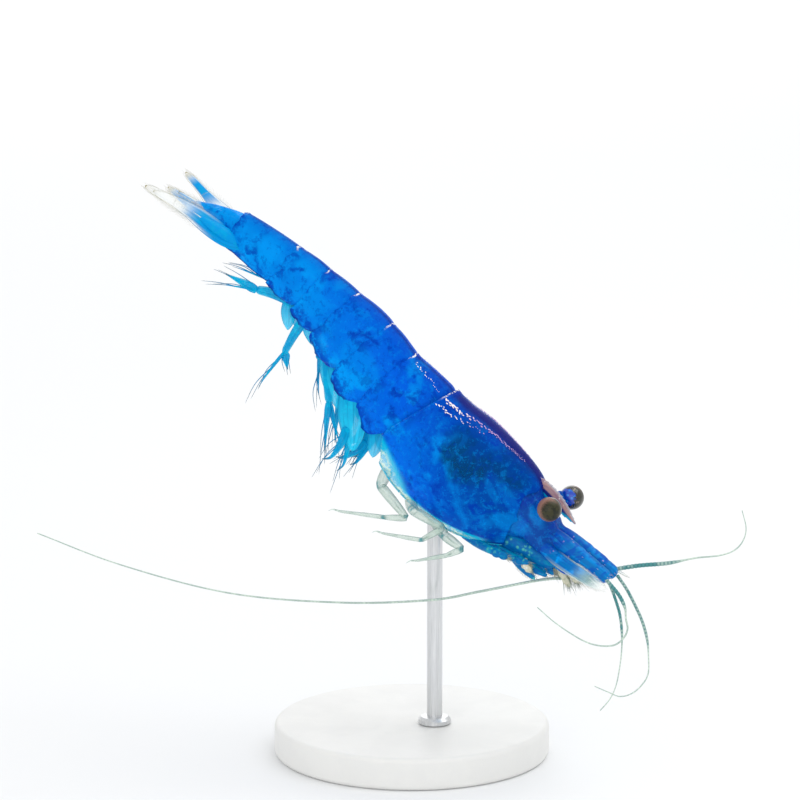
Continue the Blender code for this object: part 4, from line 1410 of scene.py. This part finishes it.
def build_swimming_legs(sizes, colours):
    """Ten swimming legs: a flat stalk, two blades with long strands, and a soft web."""
    draw = random.Random(SWIM_SEED)
    for number, pleopod in enumerate(PLEOPODS, 1):
        for side_name, side in SIDES.items():
            name = f"pleopod_{side_name}_{number}"
            shape = shape_swimming_leg(draw, thin_sizes(sizes)[0], side, *pleopod)
            materials = finishes(colours, "clear paddle", "cyan bristle")
            add_piece(f"{name}_paddle", close_seams(shape), materials, [name])


def shape_swimming_leg(draw, leaf, side, hip, swing, stalk, outer, inner, skirt):
    """Stalk, two blades with three strands each, and the web to the body; only the left leg is swung."""
    outward = Vector((0.0, side, 0.0))
    hip, swing = on_side(hip, side), swing if side > 0 else 0.0
    shape = bmesh.new()
    length, pitch, stalk_width = stalk
    down = (heading(pitch + swing) + outward * STALK_LEAN).normalized()
    knee = hip + down * length
    forward = outward.cross(down).normalized() * side
    Blade(
        bowed(hip - down * 0.45, knee, forward * 0.06),
        lambda along: stalk_width / 2 * blend(1.1, 0.62, along) * round_ends(along, 0.06, 0.12),
        outward, 0.15,
    ).build(shape, 20, 40, lambda along: blend(leaf * 3.6, leaf * 2.4, along), tint=0.6)
    for (length, pitch, width, curl), lean in zip((outer, inner), BLADE_LEANS):
        onward = (heading(pitch + swing) + outward * lean).normalized()
        root = knee + outward * lean * 1.5 - down * 0.12
        tip = root + onward * (length + 0.12)
        back = outward.cross(onward).normalized() * side
        path = Path((
            root, blend(root, tip, 0.4) + back * curl * 0.3, blend(root, tip, 0.8) + back * curl * 0.35, tip))
        blade = Blade(path, outlined(width / 2, PADDLE_OUTLINE, 0.05, 0.03), outward, 0.12)
        blade.build(shape, 18, 44, lambda along: blend(leaf * 2.0, leaf * 0.9, along))
        for number in range(3):
            start = blade.point(0.15 + 0.15 * number, draw.uniform(-0.8, 0.8))
            off = back * draw.uniform(-0.1, 0.16) + outward * draw.uniform(-0.06, 0.06)
            end = start + (onward + off).normalized() * length * draw.uniform(0.85, 1.15)
            strand = bowed(start, end, back * draw.uniform(0.0, 0.1) * length)
            tube(shape, 5, 16, strand, rounded(0.028, 0.1, 0.05, 0.7), material=1, **HAIR_MARKS)
    length, pitch, skirt_width = skirt
    top = hip - down * 0.35
    web = top + (heading(pitch + swing * 0.5) + outward * 0.08).normalized() * (length + 0.35)
    outline = outlined(skirt_width / 2, SKIRT_OUTLINE, 0.15, 0.25)
    Blade(bowed(top, web, outward * 0.1), outline, outward, 0.2).build(
        shape, 18, 24, lambda along: leaf * 1.2, lambda along: 1 - 0.9 * along, 0.6)
    return shape


def build_walking_legs(sizes, colours):
    """Mouth legs and two pairs of pincer legs, then three pairs of thin walking legs."""
    _, hair = thin_sizes(sizes)
    draw = random.Random(WALK_SEED)
    shapers = {"maxilliped": shape_mouth_leg, "leg_1": shape_pincer_leg, "leg_2": shape_pincer_leg}
    for side_name, side in SIDES.items():
        for name, joints in {**FRONT_LIMBS, **WALKING_LEGS[side_name]}.items():
            shape = bmesh.new()
            shapers.get(name, shape_walking_leg)(shape, all_on_side(joints, side), hair, draw)
            looks = ("blue limb", "beige bristle") if name in shapers else ("clear limb", "pale bristle")
            node = f"{name}_{side_name}"
            add_piece(f"{node}_limb", close_seams(shape), finishes(colours, *looks), [node])


def shape_mouth_leg(shape, joints, hair, draw):
    """Stout leg whose outer part is a brush of hairs."""
    path = limb(shape, joints, MAXILLIPED_DIAMETERS, pinch=0.06)
    for number in range(MAXILLIPED_HAIRS):
        share = (number + draw.random()) / MAXILLIPED_HAIRS
        point, direction = path.at(blend(0.35, 1.0, share))
        aim = (direction * 0.9 + stray(draw) * 0.7 + DOWNWARD * 0.5).normalized()
        bristle(shape, point + aim * 0.04, aim, draw.uniform(0.14, 0.34), hair * 1.3)


def shape_walking_leg(shape, joints, hair, draw):
    """Thin leg with a curved claw and a row of spines."""
    aim = (joints[-1] - joints[-2]).normalized()
    claw_root = joints[-1] - aim * CLAW_LENGTH
    claw_tip = joints[-1] + DOWNWARD * 0.05
    path = limb(shape, [*joints[:-1], claw_root], LEG_DIAMETERS, tip_share=0.01)
    claw = Path((claw_root - aim * 0.05, blend(claw_root, claw_tip, 0.55) - DOWNWARD * 0.07, claw_tip))
    tube(
        shape, 10, 18, claw, lambda along: 0.055 * (1 - along) ** 0.75 * round_ends(along, 0.05, 0.02),
        joint=lambda across, along: ramp(along, 0.7, 1.0), along=lengthwise, edge=always(0.5),
    )
    for number in range(LEG_SPINES):
        point, direction = path.at(blend(0.62, 0.98, number / LEG_SPINES))
        aim = (direction * 0.8 + DOWNWARD * 0.7 + LEFTWARD * draw.uniform(-0.3, 0.3)).normalized()
        bristle(shape, point, aim, draw.uniform(0.12, 0.18), hair * 1.6)


def shape_pincer_leg(shape, joints, hair, draw):
    """Short leg that ends in two fingers with a brush of hairs on each."""
    limb(shape, joints, PINCER_DIAMETERS, tip_share=0.2, pinch=0.06)
    wrist, tip = joints[-2], joints[-1]
    aim = (tip - wrist).normalized()
    palm = Path((wrist + aim * 0.1, blend(wrist, tip, 0.35), blend(wrist, tip, 0.62)))
    tube(shape, 16, 16, palm, rounded(0.22, 0.4, 0.5), **LIMB_MARKS)
    apart = aim.cross(LEFTWARD).normalized()
    for turn in (-1, 1):
        root, end = blend(wrist, tip, 0.5) + apart * turn * 0.07, tip + apart * turn * 0.05
        finger = bowed(root, end, apart * turn * 0.07)
        tube(shape, 10, 20, finger, rounded(0.085, 0.1, 0.05, 0.7), **LIMB_MARKS)
        tuft(shape, draw, blend(root, end, 0.92), aim, 16, 0.34, 0.35, hair * 1.2)


def build_mouthparts(sizes, colours):
    """Layered leaf-like mouthparts under the head, with tufts of stiff hairs."""
    leaf, hair = thin_sizes(sizes)
    draw = random.Random(MOUTH_SEED)
    shape = bmesh.new()
    tube(shape, 24, 40, Path(LIP), rounded(0.62, 0.3, 0.25), flat=1.35, **LIMB_MARKS)
    for side in SIDES.values():
        facing = Vector((0.15, side, -0.2)).normalized()
        for root, tip, width, bow in MOUTH_LEAVES:
            path = bowed(on_side(root, side), on_side(tip, side), on_side((0.0, bow, -0.05), side))
            blade = Blade(path, outlined(width / 2, MOUTH_LEAF_OUTLINE, 0.1, 0.1), facing, 0.2)
            blade.build(shape, 18, 26, lambda along: leaf * 2.4)
            blade.fringe(shape, draw, (-1, 1), (0.45, 0.995), 20, 0.22, 0.6, hair * 1.3)
        for root, tip, width in MOUTH_LOBES:
            root, tip = on_side(root, side), on_side(tip, side)

            def radius(along):
                wavy = 1 + 0.1 * math.sin(19 * along)
                return width / 2 * (1 - 0.45 * along) * wavy * round_ends(along, 0.3, 0.3)
            path = bowed(root, tip, on_side((0.0, 0.08, 0.0), side))
            tube(shape, 18, 20, path, radius, flat=0.45, material=2, **LIMB_MARKS)
            tuft(shape, draw, blend(root, tip, 0.75), (tip - root).normalized(), 18, 0.42, 0.35, hair * 2.0)
    for root, tip, count in MOUTH_TUFTS:
        reach = Vector(tip) - Vector(root)
        for side in SIDES.values():
            aim = on_side(reach.normalized(), side)
            tuft(shape, draw, on_side(root, side), aim, count, reach.length, 0.26, hair * 2.6)
    materials = finishes(colours, "blue limb", "beige bristle", "beige mouthpart")
    add_piece("mouth_leaves", close_seams(shape), materials, ["mouthparts"])


def build_eyes(sizes, colours):
    """Two round compound eyes, each turned along its stalk."""
    for side_name, side in SIDES.items():
        low, high = (Vector(corner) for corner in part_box(f"eye_{side_name}"))
        centre, radius = (low + high) / 2, (high.z - low.z) / 2
        axis = (centre - on_side(EYESTALK[0], side) * MM).normalized()
        shape = bmesh.new()
        halo, glint, inner = (shape.verts.layers.float.new(mark) for mark in ("halo", "glint", "inner"))
        bmesh.ops.create_uvsphere(shape, u_segments=EYE_MERIDIANS, v_segments=EYE_RINGS, radius=radius)
        turn = axis.to_track_quat("Z", "Y").to_matrix().to_4x4()
        bmesh.ops.transform(shape, matrix=turn, verts=shape.verts)
        for vert in shape.verts:
            out = on_side(vert.co / radius, side)
            vert[inner] = ramp(-out.y, -0.3, 0.2)
            vert[halo] = (1 - ramp(out.dot(EYE_FACING), 0.12, 0.95)) * (1 - vert[inner])
            vert[glint] = max(0.0, out.dot(EYE_GLINT))
        bmesh.ops.translate(shape, verts=shape.verts, vec=centre)
        materials = finishes(colours, "olive cornea")
        add_piece(f"eye_{side_name}_cornea", shape, materials, [f"eye_{side_name}"])


def build_feeler_bases(sizes, colours):
    """Three-jointed bases of the short feelers, the long feelers' bases and their leaf-like scales."""
    leaf, hair = thin_sizes(sizes)
    draw = random.Random(SCALE_SEED)
    for side_name, side in SIDES.items():
        node = f"antennule_base_{side_name}"
        materials = finishes(colours, "blue feeler base", "pale bristle")
        add_piece(f"{node}_segments", close_seams(shape_peduncle(side, hair)), materials, [node])

        shape = bmesh.new()
        limb(shape, all_on_side(ANTENNA_BASE, side), ANTENNA_BASE_DIAMETERS, 24, tip_share=0.06, pinch=0.05)
        add_piece(f"antenna_base_{side_name}", close_seams(shape), finishes(colours, "blue feeler base"))

        shape = bmesh.new()
        outline = outlined(SCALE_HALF_WIDTH, SCALE_OUTLINE, 0.08, 0.14)
        facing = on_side(SCALE_FACING, side).normalized()
        blade = Blade(Path(all_on_side(SCALE, side)), outline, facing, 0.16)
        blade.build(
            shape, 32, 70, lambda along: blend(leaf * 3.0, leaf * 1.2, along),
            lambda along: 1 - ramp(along, 0.56, 0.84),
        )
        blade.fringe(shape, draw, (-1, 1), (0.55, 0.995), 44, 0.3, 0.7, hair)
        node = f"antennal_scale_{side_name}"
        materials = finishes(colours, "clear feeler scale", "pale bristle")
        add_piece(f"{node}_leaf", close_seams(shape), materials, [node])


def shape_peduncle(side, hair):
    """Base of a pair of short feelers: three joints, a spine beside the first and a ring of hairs at each."""
    shape = bmesh.new()
    path = Path(all_on_side(PEDUNCLE, side))

    def radius(along):
        thick = blend(0.52, 0.33, along) * blend(0.55, 1.0, ramp(along, 0.0, 0.42))
        for share in PEDUNCLE_JOINTS:
            thick *= 1 - 0.05 * hump(along - share, 0.0, 0.018)
            thick *= 1 + 0.03 * hump(along - share, -0.05, 0.03)
        return thick * round_ends(along, 0.05, 0.07)

    def joint(across, along):
        return max(hump(along, share, 0.014) for share in PEDUNCLE_JOINTS)
    marks = {"along": lengthwise, "edge": to_margin}
    tube(shape, 40, 110, path, radius, flat=0.9, joint=joint, **marks)
    root, _ = path.at(0.18)
    offsets = ((0, side * 0.3, 0.05), (0.55, side * 0.5, -0.16), (1.1, side * 0.46, -0.52))
    spine = Path([root + Vector(offset) for offset in offsets])
    tube(
        shape, 12, 30, spine, lambda along: 0.13 * (1 - along) ** 0.8 * round_ends(along, 0.1, 0.03),
        flat=0.6, **marks,
    )
    for share in (*PEDUNCLE_JOINTS, 0.97):
        point, direction = path.at(share)
        for number in range(PEDUNCLE_HAIRS):
            angle = FULL_TURN * number / PEDUNCLE_HAIRS
            out = Vector((0, math.cos(angle), 0)) + direction.cross(LEFTWARD) * math.sin(angle)
            aim = (direction + out * 0.35).normalized()
            bristle(shape, point + out * radius(share) * 0.92, aim, 0.16, hair * 1.2)
    return shape


def build_feelers(sizes, colours):
    """Six ringed feelers, each one thread from its root to its tip."""
    for side_name, feelers in FEELERS.items():
        for name, (root_size, tip_size, thick_share, points) in feelers.items():
            path = Path(points, 0.04)
            rings = path.length / FEELER_RING
            narrowing, power = (0.8, 0.6) if name == "antenna" else (0.62, 1.0)

            def thick(across, along):
                return 1 - ramp(along, thick_share * 0.8, thick_share * 1.15)

            def groove(across, along):
                return 1 - abs(math.sin(math.pi * rings * along)) ** 0.8

            def radius(along):
                plain = blend(root_size * narrowing, tip_size, along ** power)
                size = blend(plain, root_size * (1 - 0.15 * along), thick(0.0, along))
                ring = abs(math.sin(math.pi * rings * along)) ** 0.6
                return size / 2 * (0.8 + 0.2 * ring) * round_ends(along, 0.004, 0.003)

            shape = bmesh.new()
            rows = min(900, round(rings * 6))
            tube(shape, 8, rows, path, radius, groove=groove, thick=thick, along=lengthwise)
            nodes = [f"{name}_{side_name}_{number + 1}" for number in range(FEELER_LENGTHS[name])]
            materials = finishes(colours, "ringed feeler")
            add_piece(f"{name}_{side_name}_thread", close_seams(shape), materials, nodes)


# Display stand and stage

def turned(outline, steps, centre):
    """Solid turned round an upright axis from (radius, height) corners that start and end on the axis."""
    shape = bmesh.new()
    corners = [shape.verts.new(Vector((radius, 0.0, height)) * MM) for radius, height in outline]
    edges = [shape.edges.new(pair) for pair in zip(corners, corners[1:])]
    bmesh.ops.spin(
        shape, geom=[*corners, *edges], cent=(0, 0, 0), axis=(0, 0, 1), angle=FULL_TURN, steps=steps,
        use_merge=True,
    )
    bmesh.ops.translate(shape, verts=shape.verts, vec=centre * MM)
    return close_seams(shape)


def upright(node):
    """Radius, foot height, top height and axis of an upright round solid."""
    low, high = (Vector(corner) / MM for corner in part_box(node))
    return (high.x - low.x) / 2, low.z, high.z, Vector(((low.x + high.x) / 2, (low.y + high.y) / 2, 0))


def build_stand(sizes, colours):
    """Round base and the rod that stands on it, ending under the carapace."""
    radius, foot, top, centre = upright("stand_base")
    inner = radius - DISC_EDGE
    outline = [(0.0, foot), (inner, foot)]
    for turn, height in ((-90, foot + DISC_EDGE), (0, top - DISC_EDGE)):
        for step in range(7):
            angle = math.radians(turn + 15 * step)
            outline.append((inner + DISC_EDGE * math.cos(angle), height + DISC_EDGE * math.sin(angle)))
    shape = turned([*outline, (0.0, top)], DISC_STEPS, centre)
    add_piece("stand_disc", shape, finishes(colours, "satin white base"), ["stand_base"])

    radius, foot, top, centre = upright("stand_rod")
    collar = [(radius * share, foot + height) for share, height in ROD_COLLAR]
    shape = turned([(0.0, foot), *collar, (radius, top), (0.0, top)], ROD_STEPS, centre)
    fall = 2 * radius * math.tan(math.radians(ROD_SLOPE))
    top_middle = Vector((centre.x, centre.y, (top + top - fall) / 2))
    cut = bmesh.ops.bisect_plane(
        shape, geom=[*shape.verts, *shape.edges, *shape.faces], dist=MM * 1e-4,
        plane_co=top_middle * MM, plane_no=upward(ROD_SLOPE), clear_outer=True,
    )
    rim = [part for part in cut["geom_cut"] if isinstance(part, bmesh.types.BMEdge)]
    bmesh.ops.contextual_create(shape, geom=rim)
    steel = finishes(colours, "drawn steel")
    rod = add_piece("stand_pin", close_seams(shape), steel, ["stand_rod"])
    rod.data.set_sharp_from_angle(angle=math.radians(ROD_SHARP_ANGLE))


def place_in_scene(name, data, location, direction, axis):
    """Add a lamp or camera that looks along a direction by the named axis."""
    thing = bpy.data.objects.new(name, data)
    thing.location = location
    thing.rotation_euler = direction.to_track_quat(axis, "Y").to_euler()
    bpy.context.scene.collection.objects.link(thing)
    return thing


def build_stage(sizes, colours):
    """Pale floor, soft studio lights and the camera."""
    scene = bpy.context.scene
    shape = bmesh.new()
    bmesh.ops.create_grid(shape, x_segments=4, y_segments=4, size=FLOOR_REACH)
    mesh = bpy.data.meshes.new("floor")
    shape.to_mesh(mesh)
    shape.free()
    floor = bpy.data.objects.new("floor", mesh)
    scene.collection.objects.link(floor)
    mesh.materials.append(finishes(colours, "pale floor")[0])
    world = bpy.data.worlds.new("studio")
    world.use_nodes = True
    background = world.node_tree.nodes["Background"].inputs
    background["Color"].default_value = (1, 1, 1, 1)
    background["Strength"].default_value = STUDIO_BRIGHTNESS
    scene.world = world
    for name, (place, size, power) in LAMPS.items():
        lamp = bpy.data.lights.new(name, "AREA")
        lamp.energy, lamp.size = power, size
        location = Vector(place) * MM
        place_in_scene(name, lamp, location, TARGET * MM - location, "-Z")
    camera = bpy.data.cameras.new("camera")
    camera.lens, camera.sensor_width = CAMERA_LENS, CAMERA_SENSOR
    camera.clip_start, camera.clip_end = CAMERA_CLIP
    turn, rise = math.radians(CAMERA_TURN), math.radians(CAMERA_RISE)
    back = Vector((math.sin(turn) * math.cos(rise), -math.cos(turn) * math.cos(rise), math.sin(rise)))
    scene.camera = place_in_scene("camera", camera, (TARGET + back * CAMERA_REACH) * MM, back, "Z")
    scene.view_settings.view_transform = "Standard"


# Add-on: settings, operators and panel

def shade(name, description, default):
    return FloatVectorProperty(
        name=name, description=description, default=default, subtype="COLOR", size=3, min=0.0, max=1.0)


def measure(name, description, default):
    return FloatProperty(
        name=name, description=description, default=default * MM, unit="LENGTH", subtype="DISTANCE", min=0.0,
        precision=6)


class ShrimpColours(bpy.types.PropertyGroup):
    tail_blue: shade("Tail blue", "Body colour at the tail", (0.0, 0.29, 0.76))
    waist_blue: shade("Waist blue", "Body colour at the waist", (0.0, 0.115, 0.7))
    head_blue: shade("Head blue", "Body colour at the head", (0.0, 0.065, 0.36))
    light_blue: shade("Light blue", "Lightest patches of the body", (0.0, 0.31, 0.84))
    dark_blue: shade("Dark blue", "Smears of the body and rims of the side flaps", (0.0, 0.04, 0.4))
    organ_teal: shade("Organ teal", "Organs that show through the carapace", (0.0, 0.05, 0.155))
    # Strip along the ridge: dark blue with a painted violet sheen
    ridge_sheen_violet: shade("Ridge violet", "Strip along the back's ridge", (0.012, 0.008, 0.13))
    edge_navy: shade("Edge navy", "Thin lines at the shells' free edges", (0.0, 0.015, 0.2))
    # Bead and Pink bead are painted highlight colours: the back's beads and the glints on the rostrum and
    # feeler bases. Bead also colours the joint ticks.
    bead_pale: shade("Bead", "Pale beads and joint ticks of the back", (0.95, 0.92, 0.86))
    bead_pink: shade("Pink bead", "Beads towards the head", (0.56, 0.36, 0.66))
    cyan: shade("Cyan", "Clear blades and the carapace's margin", (0.0, 0.48, 0.74))
    cyan_pale: shade("Pale cyan", "Clear margins of the swimming legs", (0.03, 0.66, 0.92))
    shell_clear: shade("Clear shell", "Clear parts of the carapace's rear margin", (0.56, 0.8, 0.62))
    fin_blue: shade("Fin blue", "Middle of the tail fan's blades", (0.0, 0.27, 0.64))
    paddle_blue: shade("Paddle blue", "Middle of the swimming legs' blades", (0.0, 0.32, 0.62))
    clear_pale: shade("Clear margin", "Clear margins and hairs of the tail fan", (0.82, 0.84, 0.8))
    bristle_cream: shade("Hair cream", "Tips of the tail fan's hairs", (0.8, 0.76, 0.64))
    edge_teal: shade("Edge teal", "Outlines of the blades", (0.0, 0.16, 0.36))
    tip_grey: shade("Tip grey", "Tips of the swimming legs", (0.05, 0.16, 0.24))
    scale_pale: shade("Scale", "Clear part of the feeler scales", (0.4, 0.62, 0.6))
    fin_straw: shade("Fin straw", "Straw edges of the tail fan's tips", (0.3, 0.26, 0.09))
    scale_line: shade("Scale line", "Straw edges of the feeler scales", (0.44, 0.4, 0.2))
    limb_clear: shade("Leg", "Segments of the walking legs", (0.55, 0.68, 0.6))
    limb_joint: shade("Leg joint", "Joints of the walking legs", (0.0, 0.22, 0.26))
    limb_streak: shade("Leg streak", "Streaks of the walking legs", (0.18, 0.28, 0.25))
    limb_blue: shade("Pincer legs", "Pincer legs and mouth legs", (0.0, 0.13, 0.41))
    limb_teal: shade("Pincer streaks", "Streaks of the pincer legs and mouth legs", (0.0, 0.3, 0.47))
    mouth_olive: shade("Mouth olive", "Streaks of the mouth's lobes", (0.24, 0.32, 0.18))
    # Green of the painted glints on the pincer legs, mouth legs and lip
    limb_green: shade("Pincer flecks", "Green flecks of the pincer legs and lip", (0.1, 0.55, 0.4))
    mouth_beige: shade("Mouth beige", "Tufts of the mouthparts", (0.64, 0.62, 0.48))
    peduncle_blue: shade("Feeler base", "Bases of the feelers", (0.0, 0.145, 0.43))
    feeler_pale: shade("Feeler", "Thin part of the feelers", (0.62, 0.73, 0.63))
    feeler_root: shade("Feeler root", "Thick part of the feelers", (0.03, 0.24, 0.25))
    feeler_dark: shade("Feeler ring", "Grooves between the feelers' rings", (0.04, 0.16, 0.18))
    cornea: shade("Eye", "Compound eyes", (0.01, 0.012, 0.004))
    cornea_olive: shade("Eye olive", "Olive drift of the eyes", (0.045, 0.043, 0.012))
    eye_rim: shade("Eye halo", "Halo of the eyes at the stalk", (0.24, 0.12, 0.09))
    eye_gold: shade("Eye gold", "Gold specks on the eyes' inner sides", (0.45, 0.32, 0.24))
    eye_blue: shade("Eye glint", "Blue glint on the eyes' inner sides", (0.0, 0.055, 0.5))
    rostrum_pink: shade("Rostrum", "Sides of the rostrum", (0.56, 0.34, 0.3))
    rostrum_mauve: shade("Rostrum streak", "Streaks of the rostrum", (0.3, 0.17, 0.24))
    base_white: shade("Base", "Display base", (0.8, 0.8, 0.78))
    rod_steel: shade("Rod", "Display rod", (0.6, 0.61, 0.62))
    floor_pale: shade("Floor", "Studio floor", (0.86, 0.87, 0.88))


class ShrimpSizes(bpy.types.PropertyGroup):
    shell_wall: measure("Shell wall", "Thickness of the shells", 0.04)
    shell_depth: measure("Shell depth", "How deep the flesh lies under the shells' outside", 0.14)
    flesh_grid: measure("Flesh grid", "Grid on which the flesh is joined into one skin", 0.09)
    leaf_thickness: measure("Blade thickness", "Thickness of the thinnest blades", 0.035)
    bristle_thickness: measure("Hair thickness", "Thickness of the finest hairs", 0.014)
    rostrum_thickness: measure("Rostrum thickness", "Thickness of the rostrum at its root", 0.2)


def settings_of(context):
    return context.scene.shrimp_sizes, context.scene.shrimp_colours


def run(build, context):
    build(*settings_of(context))
    return {"FINISHED"}


class SHRIMP_OT_flesh(bpy.types.Operator):
    """Build the soft body under the shells"""
    bl_idname = "shrimp.flesh"
    bl_label = "Flesh"

    def execute(self, context):
        return run(build_flesh, context)


class SHRIMP_OT_carapace(bpy.types.Operator):
    """Build the carapace with its margin, beads and rostrum"""
    bl_idname = "shrimp.carapace"
    bl_label = "Carapace"

    def execute(self, context):
        return run(build_carapace, context)


class SHRIMP_OT_abdomen(bpy.types.Operator):
    """Build the six shells of the abdomen"""
    bl_idname = "shrimp.abdomen"
    bl_label = "Abdomen Shells"

    def execute(self, context):
        return run(build_abdomen, context)


class SHRIMP_OT_tail_fan(bpy.types.Operator):
    """Build the telson and the four uropods"""
    bl_idname = "shrimp.tail_fan"
    bl_label = "Tail Fan"

    def execute(self, context):
        return run(build_tail_fan, context)


class SHRIMP_OT_swimming_legs(bpy.types.Operator):
    """Build the ten swimming legs"""
    bl_idname = "shrimp.swimming_legs"
    bl_label = "Swimming Legs"

    def execute(self, context):
        return run(build_swimming_legs, context)


class SHRIMP_OT_walking_legs(bpy.types.Operator):
    """Build the walking legs, the pincer legs and the mouth legs"""
    bl_idname = "shrimp.walking_legs"
    bl_label = "Walking Legs"

    def execute(self, context):
        return run(build_walking_legs, context)


class SHRIMP_OT_mouthparts(bpy.types.Operator):
    """Build the mouthparts and their tufts"""
    bl_idname = "shrimp.mouthparts"
    bl_label = "Mouthparts"

    def execute(self, context):
        return run(build_mouthparts, context)


class SHRIMP_OT_eyes(bpy.types.Operator):
    """Build the two compound eyes"""
    bl_idname = "shrimp.eyes"
    bl_label = "Eyes"

    def execute(self, context):
        return run(build_eyes, context)


class SHRIMP_OT_feeler_bases(bpy.types.Operator):
    """Build the feelers' bases and scales"""
    bl_idname = "shrimp.feeler_bases"
    bl_label = "Feeler Bases"

    def execute(self, context):
        return run(build_feeler_bases, context)


class SHRIMP_OT_feelers(bpy.types.Operator):
    """Build the six feelers"""
    bl_idname = "shrimp.feelers"
    bl_label = "Feelers"

    def execute(self, context):
        return run(build_feelers, context)


class SHRIMP_OT_stand(bpy.types.Operator):
    """Build the display stand"""
    bl_idname = "shrimp.stand"
    bl_label = "Display Stand"

    def execute(self, context):
        return run(build_stand, context)


class SHRIMP_OT_stage(bpy.types.Operator):
    """Lay the floor and place the lights and the camera"""
    bl_idname = "shrimp.stage"
    bl_label = "Stage"

    def execute(self, context):
        return run(build_stage, context)


STEPS = (
    SHRIMP_OT_stage, SHRIMP_OT_flesh, SHRIMP_OT_carapace, SHRIMP_OT_abdomen, SHRIMP_OT_tail_fan,
    SHRIMP_OT_swimming_legs, SHRIMP_OT_walking_legs, SHRIMP_OT_mouthparts, SHRIMP_OT_eyes,
    SHRIMP_OT_feeler_bases, SHRIMP_OT_feelers, SHRIMP_OT_stand,
)


class SHRIMP_PT_panel(bpy.types.Panel):
    """Lists the settings and the steps in the order they are run"""
    bl_label = "Dwarf Shrimp"
    bl_idname = "SHRIMP_PT_panel"
    bl_space_type = "VIEW_3D"
    bl_region_type = "UI"
    bl_category = "Shrimp"

    def draw(self, context):
        for settings in settings_of(context):
            box = self.layout.box()
            for name in settings.__annotations__:
                box.prop(settings, name)
        for step in STEPS:
            self.layout.operator(step.bl_idname)


CLASSES = (ShrimpColours, ShrimpSizes, *STEPS, SHRIMP_PT_panel)


def register():
    for part in CLASSES:
        bpy.utils.register_class(part)
    bpy.types.Scene.shrimp_colours = PointerProperty(type=ShrimpColours)
    bpy.types.Scene.shrimp_sizes = PointerProperty(type=ShrimpSizes)


def unregister():
    del bpy.types.Scene.shrimp_colours
    del bpy.types.Scene.shrimp_sizes
    for part in reversed(CLASSES):
        bpy.utils.unregister_class(part)


def main():
    register()
    for step in STEPS:
        family, name = step.bl_idname.split(".")
        getattr(getattr(bpy.ops, family), name)()


if __name__ == "__main__":
    main()
